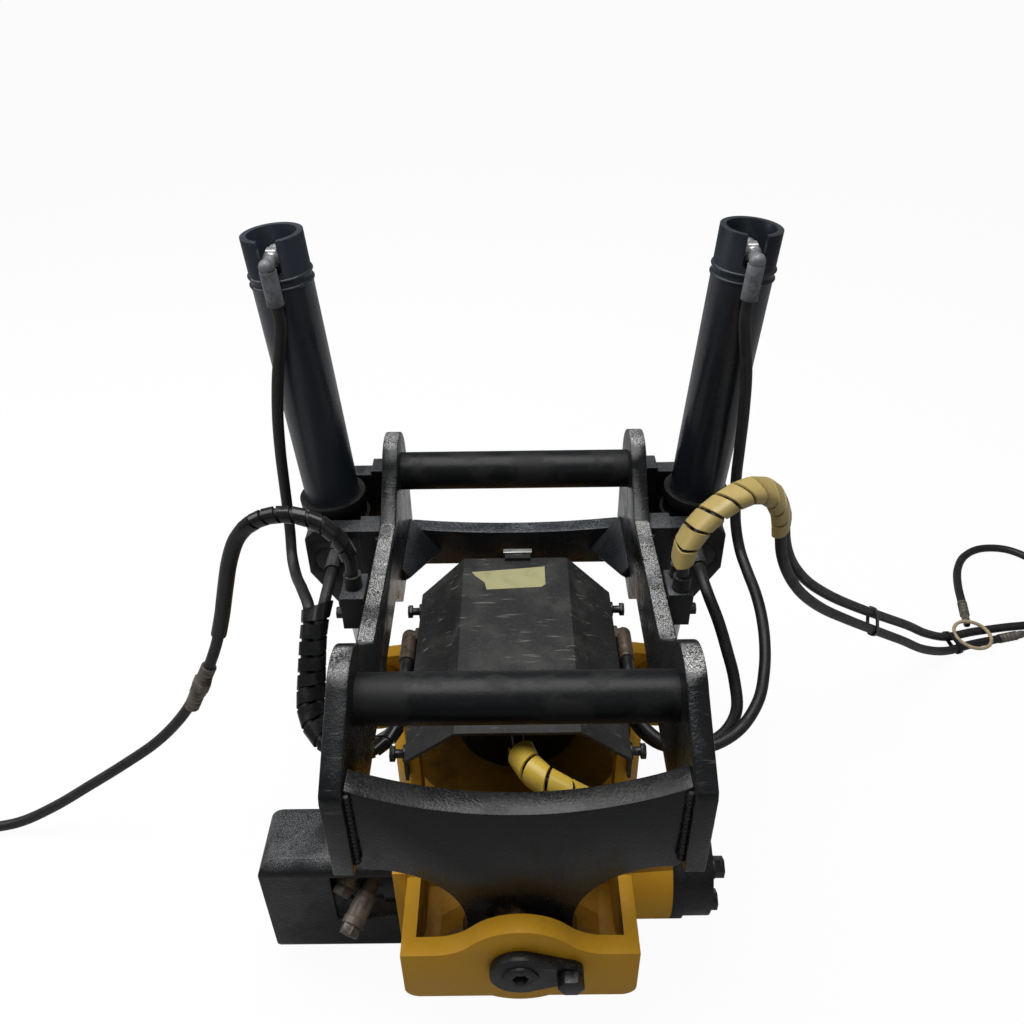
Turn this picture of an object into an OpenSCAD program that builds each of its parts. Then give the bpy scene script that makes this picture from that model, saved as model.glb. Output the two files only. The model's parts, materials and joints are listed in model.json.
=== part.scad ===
// Excavator tilt rotator: a hitch frame that tilts on a geared housing, which turns on its tool flange.
// Origin at the centre of the tool flange's underside, +X to the right, +Y to the rear, +Z up, millimetres.

/* [Hitch frame] */
// Diameter of the two hitch axles
axle_d = 50; // [46:1:54]
// Distance between the two axle centres
axle_pitch = 430; // [426:1:434]
// Clear width between the side plates
hitch_gap = 298; // [296:1:302]
// Thickness of the side plates
plate_t = 20; // [16:1:22]
// Radius of the side plate ears round the axles
ear_r = 52; // [48:1:54]
// Height of the front axle
front_axle_z = 455; // [450:1:462]
// Height of the rear axle
rear_axle_z = 429; // [425:1:436]
// Thickness of the front and rear cross plates
cross_t = 25; // [22:1:27]

/* [Tilt pivot] */
// Height of the tilt axis
tilt_z = 219; // [217:1:222]
// Diameter of the tilt pins
tilt_pin_d = 50; // [44:1:54]
// Wall of the tilt bushes
bush_wall = 9; // [6:1:11]
// Radius of the bosses round the tilt axis
boss_r = 58; // [56:1:60]
// Thickness of the outer pivot walls
wall_t = 19; // [16:1:24]
// Half the width of the front pivot wall
wall_half = 115; // [112:1:118]
// Thickness of the lock plates
lock_t = 10; // [8:1:12]

/* [Tilt cylinders] */
// Distance from the tilt axis to the trunnions and to the lug pins
pivot_r = 275.4; // [274:0.2:277]
// Angle of the trunnions above the tilt axis
trunnion_angle = 31; // [30.6:0.1:31.4]
// Angle of the lug pins below the tilt axis
lug_angle = -39; // [-39.4:0.1:-38.6]
// Distance from the origin back to the cylinders
cyl_y = 189; // [187:1:191]
// Outer diameter of the barrel tube
tube_d = 70; // [66:1:72]
// Wall of the barrel tube
tube_wall = 7; // [5:1:9]
// Length of the barrel above its trunnion
tube_top = 400; // [396:1:410]
// Length of the barrel below its trunnion
tube_low = 80; // [74:1:90]
// Diameter of the piston rod
rod_d = 36; // [30:1:40]
// Diameter of the trunnion journals
journal_d = 40; // [34:1:44]
// Diameter of the lug pins
lug_pin_d = 30; // [26:1:34]

/* [Gear drive] */
// Diameter of the tool flange
flange_d = 310; // [300:2:330]
// Thickness of the tool flange
flange_t = 25; // [22:1:26]
// Distance from the tool flange's rim in to its bolt circle
flange_rim = 20; // [16:1:24]
// Diameter of the tool flange bolt holes
flange_hole_d = 18; // [14:1:20]
// Radius of the gear drum
drum_r = 160; // [156:1:164]
// Height of the drum's top face
drum_top = 185; // [183:1:187]
// Module of the worm gear
gear_module = 7; // [6.8:0.1:7.2]
// Pitch radius of the worm
worm_pitch_r = 39; // [38:0.5:40]
// Height of the worm's axis
worm_z = 122; // [120:1:124]
// Radius of the worm tube
worm_tube_r = 65; // [63:1:67]
// Right-hand end of the worm tube
worm_end = 172; // [168:1:176]

/* [Cover and guard] */
// Half the width of the cover
cover_half = 125; // [122:1:127]
// Height of the cover's top
cover_top = 335; // [332:1:338]
// Sheet thickness of the cover
sheet_t = 4; // [3:0.5:5]
// Left-hand face of the motor guard
guard_left = -290; // [-300:1:-286]
// Height of the guard's top
guard_top = 193; // [190:1:195]
// Wall of the motor guard
guard_t = 7; // [5:1:9]

/* [Hoses] */
// Diameter of the cylinder hoses
hose_d = 14; // [12:1:14]
// Diameter of the left feed hose
feed_d = 14; // [12:1:14]
// Diameter of the two right feed hoses
twin_d = 14; // [12:1:14]

/* [Hidden] */
$fn = 48;
fit = 0.05;
black = "#24262a";
yellow = "#c79a34";
steel = "#8d8f92";
bronze = "#a67c3c";
rubber = "#17181a";
plated = "#8b8274";

// Hitch frame places
front_y = -axle_pitch / 2;
rear_y = axle_pitch / 2;
in_x = hitch_gap / 2;
out_x = in_x + plate_t;
front_low_z = 342;
rear_low_z = 290;
plate_front_y = front_y - 110;
plate_rear_y = rear_y + 56;
drop_y = 60;
front_cross_y = front_y - 100;
rear_cross_y = plate_rear_y - cross_t;
front_top_z = 450;
front_dip = 35;
rear_top_z = 309;
rear_dip = 8;
rear_cross_low = tilt_z + 25;
arch_r = 90;
arch_x = 142;
arch_z = tilt_z + 27;

// Tilt pivot places: the tongues run between an outer and an inner wall
pin_r = tilt_pin_d / 2;
bush_r = pin_r + bush_wall;
side_gap = 11;
bush_gap = 4;
inner_t = 24;
front_wall_y = front_cross_y - side_gap - wall_t;
front_inner_y = front_cross_y + cross_t + side_gap;
rear_inner_y = rear_cross_y - side_gap - inner_t;
rear_wall_y = plate_rear_y + side_gap;
shoulder_z = tilt_z + 22;
wall_low_z = tilt_z - 54;
hump_r = boss_r + 3;
hump_fillet = 50;
arm_t = 14;
lock_pitch = 48;
lock_bolt_r = 8;

// Cylinder places, for the right-hand side
trunnion = [pivot_r * cos(trunnion_angle), cyl_y, tilt_z + pivot_r * sin(trunnion_angle)];
lug = [pivot_r * cos(lug_angle), cyl_y, tilt_z + pivot_r * sin(lug_angle)];
lean = -(trunnion_angle + lug_angle) / 2;
tube_r = tube_d / 2;
bore_r = tube_r - tube_wall;
rod_r = rod_d / 2;
journal_r = journal_d / 2;
lug_pin_r = lug_pin_d / 2;
cap_t = 20;
cap_top = tube_top - 38;
piston_t = 40;
tilt_limit = 35;
closed_gap = 2 * pivot_r * sin((trunnion_angle - lug_angle - tilt_limit) / 2);
piston_at = cap_top - cap_t - piston_t / 2 - 2 + closed_gap;
collar_r = tube_r + 9;
flange_disc_r = tube_r + 8;
trunnion_gap = 52;
lug_t = 25;
lug_out_y = trunnion_gap + lug_t;
ferrule_r = 9.5;
bead_r = 2;
ferrule_off = tube_r + bead_r + ferrule_r + 0.5;
ferrule_low = 335;
eye_r = 30;
eye_half = 23.5;
ear_gap = 24;
lug_ear_t = 24;
lug_ear_r = 40;
ear_seat_x = lug.x - eye_r - 12;

// Gear drive places
wheel_teeth = 36;
wheel_pitch_r = gear_module * wheel_teeth / 2;
worm_y = -(wheel_pitch_r + worm_pitch_r);
gear_pitch = PI * gear_module;
lead_angle = atan(gear_pitch / (2 * PI * worm_pitch_r));
wheel_half = 28;
wheel_tip_r = wheel_pitch_r + gear_module;
thread_tip_r = worm_pitch_r + gear_module;
core_r = 30;
flank = tan(20);
thread_half = gear_pitch / 4 - 1;
slot_half = gear_pitch / 4 + 0.4;
hub_r = 95;
hub_top = worm_z - wheel_half;
spigot_r = 60;
spigot_top = drum_top - 7;
carrier_in_r = 115;
cavity_r = wheel_tip_r + 4;
cavity_top = worm_z + wheel_half + 4;
upper_seat_r = 85;
drum_low = flange_t + 0.5;
worm_bore_r = 48;
worm_journal_r = 25;
drive_end_r = 20;
worm_half = 60;
bearing_x = 86;
bearing_t = 24;
flange_x = -140;
motor_r = 44;
motor_end = -232;
cap_bolt_ring = 46;
cap_bolt_r = 6;
swivel_r = 78;
swivel_top = 310;
swivel_port = [0, -100, 290];
swivel_core_r = 38;
port_y = 60;
port_zs = [274, 248];
port_x = cover_half - 7;
elbow_x = cover_half + 13;
port_window = 32;
ferrule_end_y = 15;

// Cover places
cover_front = -154;
cover_rear = 144;
cover_crown = 68;
cover_eave_z = cover_top - 45;
cover_low_z = cover_eave_z - 32;
cover_cut_y = 124;
cover_bolt_z = cover_eave_z - 12;
post_t = 12;
post_w = 24;
front_post_y = -133;
rear_post_y = 104;
guard_front = worm_y - 54;
guard_back = worm_y + 24;
guard_round = 18;
rail_top = 92;
rail_left = -211;

// Port blocks on the side plates
block_t = 26;
block_y = [-42, 2];
block_z = [384, 428];
rod_port = [222, 52, 392];
rod_port_hex = 84;

// Hose routes, chosen by hand
top_right_route = [[259.4, 142, 694.9], [258, 142, 675], [262, 142, 645], [269, 142, 605], [273, 142, 555],
    [275, 143, 505], [277, 145, 460], [281, 145, 420], [285, 139, 386], [290, 121, 361], [295, 93, 349],
    [299, 60, 342], [300, 26, 334], [298, -8, 322], [293, -38, 306], [282, -68, 286], [255, -95, 265],
    [216, -106, 250], [178, -96, 244], [150, -70, 249], [elbow_x, -36, 264], [elbow_x, -8, port_zs[0]],
    [elbow_x, ferrule_end_y, port_zs[0]]];
top_left_route = [[-259.4, 142, 694.9], [-258, 142, 675], [-263, 142, 645], [-272, 142, 605], [-280, 142, 555],
    [-285, 143, 505], [-288, 145, 460], [-290, 145, 420], [-290, 137, 387], [-287, 116, 363], [-277, 87, 352],
    [-264, 55, 347], [-256, 20, 339], [-252, -16, 323], [-251, -48, 302], [-247, -76, 282], [-231, -98, 263],
    [-202, -107, 249], [-171, -99, 243], [-148, -77, 246], [-elbow_x, -48, 257], [-elbow_x, -10, port_zs[0]],
    [-elbow_x, ferrule_end_y, port_zs[0]]];
rod_right_route = [rod_port, [222, 32, 392], [226, 6, 385], [236, -15, 364], [247, -30, 332],
    [257, -46, 298], [258, -70, 270], [241, -86, 249], [208, -92, 235], [170, -80, 226], [146, -56, 230],
    [elbow_x, -32, 239], [elbow_x, -8, port_zs[1]], [elbow_x, ferrule_end_y, port_zs[1]]];
rod_left_route = [[-rod_port.x, rod_port.y, rod_port.z], [-222, 32, 392], [-224, 6, 386], [-229, -16, 366],
    [-233, -31, 334], [-235, -46, 302], [-232, -67, 280], [-220, -83, 260], [-197, -88, 243], [-171, -80, 232],
    [-150, -60, 231],
    [-elbow_x, -34, 239], [-elbow_x, -8, port_zs[1]], [-elbow_x, ferrule_end_y, port_zs[1]]];
top_split = 9;
split_gap = 0.2;
feed_left_route = [[-182, -20, 446], [-182, -20, 468], [-190, -19, 493], [-208, -16, 512], [-234, -12, 521],
    [-262, -8, 519], [-287, -4, 506], [-307, -1, 484], [-322, 0, 452], [-335, 0, 410], [-348, 0, 365],
    [-363, -1, 322], [-382, -3, 280], [-404, -5, 240], [-432, -8, 200], [-470, -11, 160], [-520, -15, 122],
    [-576, -20, 84], [-634, -25, 46], [-690, -29, 18], [-745, -31, 8], [-795, -33, 8]];
feed_right_route = [[184, -30, 446], [184, -30, 468], [189, -27, 492], [200, -21, 513], [218, -11, 529],
    [242, 2, 536], [267, 16, 531], [286, 27, 514], [299, 34, 489], [307, 39, 456], [315, 44, 420],
    [330, 53, 382], [357, 70, 336], [400, 97, 284], [458, 133, 228], [524, 174, 168], [590, 213, 110],
    [652, 250, 54], [712, 284, 17], [765, 308, 8], [815, 320, 8]];
feed_loop_route = [[184, -8, 446], [184, -8, 468], [189, -6, 492], [201, 0, 514], [220, 10, 532],
    [246, 22, 540], [272, 35, 535], [292, 45, 517], [306, 52, 490], [315, 57, 456], [324, 62, 420],
    [341, 73, 380], [373, 95, 332], [422, 127, 278], [482, 165, 222], [548, 207, 164], [612, 248, 108],
    [668, 284, 56], [724, 316, 18], [780, 338, 8], [838, 348, 8], [894, 356, 8], [942, 378, 8], [976, 420, 8],
    [986, 474, 8], [972, 526, 8], [936, 562, 8], [888, 566, 8], [848, 544, 8], [820, 506, 8], [802, 460, 8],
    [790, 412, 8]];
swivel_route = [swivel_port, [0, -122, 290], [5, -150, 291], [21, -176, 291], [46, -192, 287],
    [73, -198, 273], [94, -197, 249], [104, -193, 220], [106, -190, 196]];

// Shared shapes

// An XZ outline made into a plate from y0 to y1
module plate_y(y0, y1) {
    translate([0, y1, 0]) rotate([90, 0, 0]) linear_extrude(y1 - y0) children();
}

// A YZ outline made into a plate from x0 to x1
module plate_x(x0, x1) {
    translate([x0, 0, 0]) rotate([90, 0, 90]) linear_extrude(x1 - x0) children();
}

module bar_x(y, z, x0, x1, r, sides = 48) {
    translate([x0, y, z]) rotate([0, 90, 0]) cylinder(r = r, h = x1 - x0, $fn = sides);
}

module bar_y(x, z, y0, y1, r, sides = 48) {
    translate([x, y0, z]) rotate([-90, 0, 0]) cylinder(r = r, h = y1 - y0, $fn = sides);
}

module ring(r0, r1, z0, z1) {
    translate([0, 0, z0]) difference() {
        cylinder(r = r1, h = z1 - z0);
        translate([0, 0, -1]) cylinder(r = r0, h = z1 - z0 + 2);
    }
}

module box(low, high) {
    translate(low) cube(high - low);
}

// Right-hand pieces as they are, left-hand pieces mirrored
module on_side(s) {
    if (s > 0) children();
    else mirror([1, 0, 0]) children();
}

// A cylinder's own frame: z along the barrel, at the trunnion or at the lug pin
module at_trunnion(s) {
    on_side(s) translate(trunnion) rotate([0, lean, 0]) children();
}

module at_lug(s) {
    on_side(s) translate(lug) rotate([0, lean, 0]) children();
}

// Two discs and their outer tangents, from the origin along +X
module teardrop_outline(r0, r1, pitch) {
    a = acos((r0 - r1) / pitch);
    circle(r0);
    translate([pitch, 0]) circle(r1);
    polygon([[r0 * cos(a), r0 * sin(a)], [pitch + r1 * cos(a), r1 * sin(a)],
        [pitch + r1 * cos(a), -r1 * sin(a)], [r0 * cos(a), -r0 * sin(a)]]);
}

// Hose tube: rings of points carried along a route, from ring first to ring last
function unit(v) = v / norm(v);
function heading(p, i) = unit(p[min(i + 1, len(p) - 1)] - p[max(i - 1, 0)]);
function square_to(n, t) = unit(n - (n * t) * t);
function start_side(t) = square_to(abs(t.z) < 0.9 ? [0, 0, 1] : [0, 1, 0], t);
function side_at(p, i) = i == 0 ? start_side(heading(p, 0)) : square_to(side_at(p, i - 1), heading(p, i));
function ring_points(p, i, r, n) =
    let(t = heading(p, i), u = side_at(p, i), v = cross(t, u))
    [for (k = [0:n - 1]) p[i] + r * (cos(360 * k / n) * u + sin(360 * k / n) * v)];

// A route whose split point is moved on, so that the two lengths of hose meet without touching
function from_split(p) =
    [for (i = [0:len(p) - 1]) p[i] + (i == top_split ? split_gap * heading(p, i) : [0, 0, 0])];

module hose(p, r, first, last, n = 8) {
    rings = last - first;
    pts = [for (i = [first:last]) each ring_points(p, i, r, n)];
    start_face = [[for (k = [0:n - 1]) k]];
    end_face = [[for (k = [n - 1:-1:0]) rings * n + k]];
    walls = [for (i = [0:rings - 1], k = [0:n - 1]) each let(j = (k + 1) % n)
        [[i * n + k, (i + 1) * n + k, (i + 1) * n + j], [i * n + k, (i + 1) * n + j, i * n + j]]];
    polyhedron(points = pts, faces = concat(start_face, end_face, walls));
}

// Rotor and gear drive

module rotor_hub() {
    color(steel) difference() {
        rotate_extrude() polygon([[0, 0], [flange_d / 2 - 3, 0], [flange_d / 2, 3], [flange_d / 2, flange_t],
            [hub_r, flange_t], [hub_r, hub_top], [spigot_r, hub_top], [spigot_r, spigot_top - 3],
            [spigot_r - 3, spigot_top], [0, spigot_top]]);
        for (i = [0:11]) rotate([0, 0, 30 * i + 15]) translate([flange_d / 2 - flange_rim, 0, -1])
            cylinder(d = flange_hole_d, h = flange_t + 2);
        wheel_bolt_circle() translate([0, 0, hub_top - 30]) cylinder(r = 6, h = 31);
    }
}

module wheel_bolt_circle() {
    for (i = [0:7]) rotate([0, 0, 45 * i]) translate([(spigot_r + hub_r) / 2, 0, 0]) children();
}

module worm_wheel() {
    root_r = wheel_pitch_r - gear_module - 0.7;
    reach = wheel_tip_r + 2;
    color(bronze) difference() {
        ring(spigot_r, wheel_tip_r, hub_top, hub_top + 2 * wheel_half);
        wheel_bolt_circle() translate([0, 0, hub_top - 1]) cylinder(r = 6, h = 2 * wheel_half + 2);
        for (i = [0:wheel_teeth - 1]) rotate([0, 0, 360 * i / wheel_teeth])
            translate([0, -wheel_pitch_r, worm_z]) rotate([0, lead_angle, 0])
                linear_extrude(2.4 * wheel_half, center = true) polygon([
                    [-slot_half - (reach - wheel_pitch_r) * flank, wheel_pitch_r - reach],
                    [slot_half + (reach - wheel_pitch_r) * flank, wheel_pitch_r - reach],
                    [slot_half - (wheel_pitch_r - root_r) * flank, wheel_pitch_r - root_r],
                    [-slot_half + (wheel_pitch_r - root_r) * flank, wheel_pitch_r - root_r]]);
    }
}

module wheel_bolts() {
    color(steel) wheel_bolt_circle() {
        translate([0, 0, hub_top - 28]) cylinder(r = 6, h = 2 * wheel_half + 28);
        translate([0, 0, hub_top + 2 * wheel_half]) cylinder(r = 9, h = 3.5, $fn = 6);
    }
}

module swivel_core() {
    color(steel) difference() {
        translate([0, 0, spigot_top]) cylinder(r = swivel_core_r, h = 82);
        for (z = [24, 48]) translate([0, 0, spigot_top + z]) ring(swivel_core_r - 4, swivel_core_r + 1, 0, 8);
    }
}

module bearing_carrier() {
    color(black) ring(carrier_in_r, cavity_r, drum_low, drum_low + 34);
}

module slew_bearings() {
    color(steel) {
        ring(hub_r + fit, carrier_in_r, drum_low + 4, drum_low + 32);
        ring(spigot_r + fit, upper_seat_r, cavity_top, cavity_top + 20);
    }
}

module worm_bearings() {
    color(steel) for (x = [-bearing_x - bearing_t, bearing_x]) difference() {
        bar_x(worm_y, worm_z, x, x + bearing_t, worm_bore_r);
        bar_x(worm_y, worm_z, x - 1, x + bearing_t + 1, worm_journal_r + fit);
    }
}

module worm_shaft() {
    color(steel) {
        bar_x(worm_y, worm_z, -worm_half, worm_half, core_r);
        bar_x(worm_y, worm_z, -bearing_x - bearing_t - 2, bearing_x + bearing_t + 2, worm_journal_r);
        bar_x(worm_y, worm_z, flange_x - 24, 0, drive_end_r);
    }
}

// One start of thread, wound on the shaft: four corners at each step of the helix
module worm_thread() {
    steps = 20;
    turns = 4.8;
    total = steps * turns;
    foot_r = core_r + 0.4;
    foot_half = thread_half + (worm_pitch_r - foot_r) * flank;
    tip_half = thread_half - gear_module * flank;
    corners = [[foot_r, -foot_half], [thread_tip_r, -tip_half], [thread_tip_r, tip_half], [foot_r, foot_half]];
    pts = [for (i = [0:total]) let(turn = i / steps - turns / 2, a = 360 * turn) each
        [for (c = corners) [gear_pitch * turn + c[1], c[0] * cos(a), c[0] * sin(a)]]];
    walls = [for (i = [0:total - 1], k = [0:3]) each let(j = (k + 1) % 4)
        [[4 * i + k, 4 * i + 4 + k, 4 * i + 4 + j], [4 * i + k, 4 * i + 4 + j, 4 * i + j]]];
    ends = [[0, 1, 2, 3], [4 * total + 3, 4 * total + 2, 4 * total + 1, 4 * total]];
    color(steel) translate([0, worm_y, worm_z]) polyhedron(points = pts, faces = concat(ends, walls));
}

module cap_bolt_circle() {
    for (a = [45:90:315]) translate([0, worm_y + cap_bolt_ring * cos(a), worm_z + cap_bolt_ring * sin(a)])
        rotate([0, 90, 0]) children();
}

module worm_cap() {
    color(black) difference() {
        union() {
            bar_x(worm_y, worm_z, worm_end, worm_end + 14, worm_tube_r);
            bar_x(worm_y, worm_z, worm_end + 14, worm_end + 46, worm_tube_r - 3);
            bar_x(worm_y, worm_z, worm_end - 12, worm_end, worm_bore_r);
        }
        bar_x(worm_y, worm_z, worm_end - 13, worm_end + 6, worm_bore_r - 8);
        cap_bolt_circle() translate([0, 0, worm_end - 1]) cylinder(r = cap_bolt_r, h = 60);
    }
}

module cap_bolts() {
    color(black) cap_bolt_circle() {
        translate([0, 0, worm_end + 6]) cylinder(r = cap_bolt_r, h = 40);
        translate([0, 0, worm_end + 46]) cylinder(r = 13, h = 3);
        translate([0, 0, worm_end + 49]) cylinder(r = 12, h = 11, $fn = 6);
    }
}

module motor_body() {
    bar_x(worm_y, worm_z, flange_x - 16, flange_x, motor_r);
    bar_x(worm_y, worm_z, flange_x - 60, flange_x - 16, motor_r - 4);
    bar_x(worm_y, worm_z, motor_end, flange_x - 60, motor_r - 8);
}

module drive_motor() {
    color(black) difference() {
        motor_body();
        bar_x(worm_y, worm_z, flange_x - 26, flange_x + 1, drive_end_r + fit);
    }
}

// Sheet guard round the motor, open at the back, with a low rail across the couplings
module motor_guard() {
    color(black) difference() {
        guard_block(0, guard_round);
        guard_block(guard_t, guard_round - guard_t);
        box([rail_left, guard_front - 1, rail_top], [flange_x + 1, guard_front + guard_t + 1, guard_top - 20]);
    }
}

// The guard's block, inset on its closed sides, with rounded edges along X and along Z
module guard_block(inset, r) {
    x0 = guard_left + inset;
    y0 = guard_front + inset;
    z0 = flange_t + inset;
    z1 = guard_top - inset;
    x1 = flange_x + (inset > 0 ? 1 : 0);
    y1 = guard_back + (inset > 0 ? 1 : 0);
    intersection() {
        plate_x(x0, x1) {
            translate([y0 + r, z0]) square([y1 - y0 - r, z1 - z0]);
            translate([y0, z0 + r]) square([r + 1, z1 - z0 - 2 * r]);
            for (z = [z0 + r, z1 - r]) translate([y0 + r, z]) circle(r);
        }
        plate_y(y0 - 1, y1 + 1) {
            translate([x0 + r, z0]) square([x1 - x0 - r, z1 - z0]);
            translate([x0, z0 + r]) square([r + 1, z1 - z0 - 2 * r]);
            for (z = [z0 + r, z1 - r]) translate([x0 + r, z]) circle(r);
        }
    }
}

// Two capped quick couplings, screwed into the motor and leaning out to the front left
module capped_couplings() {
    heads = [[-166, worm_y - 30, worm_z + 18], [-182, worm_y - 5, worm_z + 36]];
    lengths = [56, 44];
    color(plated) difference() {
        for (i = [0, 1]) translate(heads[i]) rotate([0, 110, 66 + 180]) {
            cylinder(r = 9, h = lengths[i]);
            translate([0, 0, lengths[i] - 30]) cylinder(r = 12, h = 30);
            translate([0, 0, lengths[i] - 36]) cylinder(r = 13, h = 6, $fn = 6);
        }
        motor_body();
    }
}

// Gear housing

module front_wall_outline() {
    fillet_x = sqrt(pow(hump_r + hump_fillet, 2) - pow(shoulder_z + hump_fillet - tilt_z, 2));
    touch = unit([fillet_x, shoulder_z + hump_fillet - tilt_z]) * hump_r;
    r = 15;
    difference() {
        union() {
            translate([-wall_half, wall_low_z + r]) square([2 * wall_half, shoulder_z - wall_low_z - r]);
            translate([-wall_half + r, wall_low_z]) square([2 * (wall_half - r), r]);
            for (s = [-1, 1]) translate([s * (wall_half - r), wall_low_z + r]) circle(r);
            translate([0, tilt_z]) circle(hump_r);
            polygon([[-fillet_x, shoulder_z - 1], [-fillet_x, shoulder_z], [-touch.x, tilt_z + touch.y],
                [touch.x, tilt_z + touch.y], [fillet_x, shoulder_z], [fillet_x, shoulder_z - 1]]);
        }
        for (s = [-1, 1]) translate([s * fillet_x, shoulder_z + hump_fillet]) circle(hump_fillet);
    }
}

module inner_wall_outline(half, low, shoulder, r) {
    translate([0, tilt_z]) circle(r);
    polygon([[-half, low], [half, low], [half, shoulder], [r * 0.86, tilt_z - r / 2],
        [-r * 0.86, tilt_z - r / 2], [-half, shoulder]]);
}

module lug_ear_outline() {
    translate([lug.x, lug.z]) circle(lug_ear_r);
    polygon([[120, drum_low + 4], [120, 100], [lug.x, lug.z + lug_ear_r], [lug.x, lug.z - lug_ear_r + 4]]);
}

module housing_drum() {
    rotate_extrude() polygon([[0, drum_low], [drum_r - 6, drum_low], [drum_r, drum_low + 6],
        [drum_r, drum_top - 14], [drum_r - 14, drum_top], [0, drum_top]]);
    bar_x(worm_y, worm_z, flange_x + 10, worm_end, worm_tube_r);
    box([flange_x, worm_y - 57, 40], [flange_x + 15, worm_y + 57, drum_top]);
}

module housing_front() {
    plate_y(front_wall_y, front_wall_y + wall_t) front_wall_outline();
    plate_y(front_inner_y, front_inner_y + inner_t) inner_wall_outline(85, 110, wall_low_z - 7, boss_r);
    box([-85, front_inner_y, 110], [85, worm_y, wall_low_z - 7]);
    for (s = [-1, 1]) on_side(s) plate_x(wall_half - arm_t, wall_half) polygon([
        [front_wall_y, wall_low_z + 15], [front_wall_y, shoulder_z], [front_inner_y + 17, shoulder_z],
        [worm_y - 47, worm_z + 43], [worm_y, worm_z + 43], [worm_y, 120], [worm_y - 50, 120],
        [front_inner_y, wall_low_z]]);
}

module housing_rear() {
    bridge_top = tilt_z - boss_r - side_gap;
    box([-100, drum_r - 40, 60], [100, rear_wall_y + wall_t, bridge_top]);
    plate_y(rear_inner_y, rear_inner_y + inner_t) inner_wall_outline(95, 60, bridge_top, pin_r + 16);
    plate_y(rear_wall_y, rear_wall_y + wall_t) inner_wall_outline(95, 60, bridge_top, boss_r);
    for (s = [-1, 1]) on_side(s) {
        translate([0, 0, 30]) linear_extrude(65) polygon([[80, 90], [140, 90],
            [ear_seat_x, cyl_y - 48], [ear_seat_x, cyl_y + 48], [80, cyl_y + 48]]);
        for (y = [cyl_y - ear_gap - lug_ear_t, cyl_y + ear_gap]) plate_y(y, y + lug_ear_t) lug_ear_outline();
    }
}

module cover_posts() {
    top = cover_eave_z - 4;
    x1 = cover_half - sheet_t;
    for (s = [-1, 1]) on_side(s) {
        box([x1 - post_t, front_post_y - post_w / 2, 150], [x1, front_post_y + post_w / 2, top]);
        box([x1 - post_t, rear_post_y - post_w / 2, 80], [x1, rear_post_y + post_w / 2, top]);
    }
}

module cover_bolt_places() {
    for (s = [-1, 1], y = [front_post_y, rear_post_y]) on_side(s) translate([0, y, cover_bolt_z])
        rotate([0, 90, 0]) children();
}

module gear_housing() {
    color(yellow) difference() {
        union() {
            housing_drum();
            housing_front();
            housing_rear();
            cover_posts();
        }
        translate([0, 0, drum_low - 1]) cylinder(r = cavity_r, h = cavity_top - drum_low + 1);
        translate([0, 0, cavity_top - 1]) cylinder(r = upper_seat_r, h = 21);
        translate([0, 0, cavity_top]) cylinder(r = spigot_r + 2, h = drum_top);
        bar_x(worm_y, worm_z, flange_x - 1, worm_end + 1, worm_bore_r);
        bar_y(0, tilt_z, front_wall_y - 1, front_inner_y + inner_t + 1, pin_r);
        bar_y(0, tilt_z, rear_inner_y - 1, rear_wall_y + wall_t + 1, pin_r);
        bar_y(lock_pitch, tilt_z, front_wall_y - 1, front_wall_y + wall_t + 1, lock_bolt_r);
        bar_y(lock_pitch, tilt_z, rear_wall_y - 1, rear_wall_y + wall_t + 1, lock_bolt_r);
        for (s = [-1, 1]) bar_y(s * lug.x, lug.z, cyl_y - 60, cyl_y + 60, lug_pin_r);
        cover_bolt_places() translate([0, 0, cover_half - 30]) cylinder(r = 5, h = 30);
    }
}

module swivel_block() {
    color(black) difference() {
        union() {
            translate([0, 0, drum_top]) rotate_extrude() polygon([[0, 0], [swivel_r, 0],
                [swivel_r, swivel_top - drum_top - 6], [swivel_r - 6, swivel_top - drum_top],
                [0, swivel_top - drum_top]]);
            for (s = [-1, 1], z = port_zs) on_side(s) bar_x(port_y, z, 30, port_x, 12);
            bar_y(swivel_port.x, swivel_port.z, swivel_port.y, -40, 12);
        }
        translate([0, 0, drum_top - 1]) cylinder(r = swivel_core_r + fit, h = 79);
    }
}

module port_elbows() {
    color(plated) for (s = [-1, 1], z = port_zs) on_side(s) {
        bar_x(port_y, z, port_x, port_x + 12, 12, 6);
        bar_x(port_y, z, port_x + 12, elbow_x, 8);
        translate([elbow_x, port_y, z]) sphere(ferrule_r);
        bar_y(elbow_x, z, ferrule_end_y, port_y, ferrule_r);
    }
}

// A hose from the swivel block, round to the worm tube
module swivel_hose() {
    color(rubber) {
        hose(swivel_route, hose_d / 2, 0, len(swivel_route) - 1);
        end = swivel_route[len(swivel_route) - 1];
        foot_z = worm_z + sqrt(pow(worm_tube_r, 2) - pow(end.y - worm_y, 2));
        difference() {
            translate([end.x, end.y, foot_z - 12]) cylinder(r = 10, h = end.z - foot_z + 12);
            bar_x(worm_y, worm_z, 0, worm_end, worm_tube_r);
        }
    }
}

module tilt_pin_front() {
    color(steel) bar_y(0, tilt_z, front_wall_y, front_inner_y + inner_t, pin_r);
}

module tilt_pin_rear() {
    color(steel) bar_y(0, tilt_z, rear_inner_y, rear_wall_y + wall_t, pin_r);
}

module lock_outline() {
    difference() {
        translate([0, tilt_z]) teardrop_outline(pin_r + 5, 13, lock_pitch);
        translate([lock_pitch, tilt_z]) circle(lock_bolt_r);
    }
}

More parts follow.
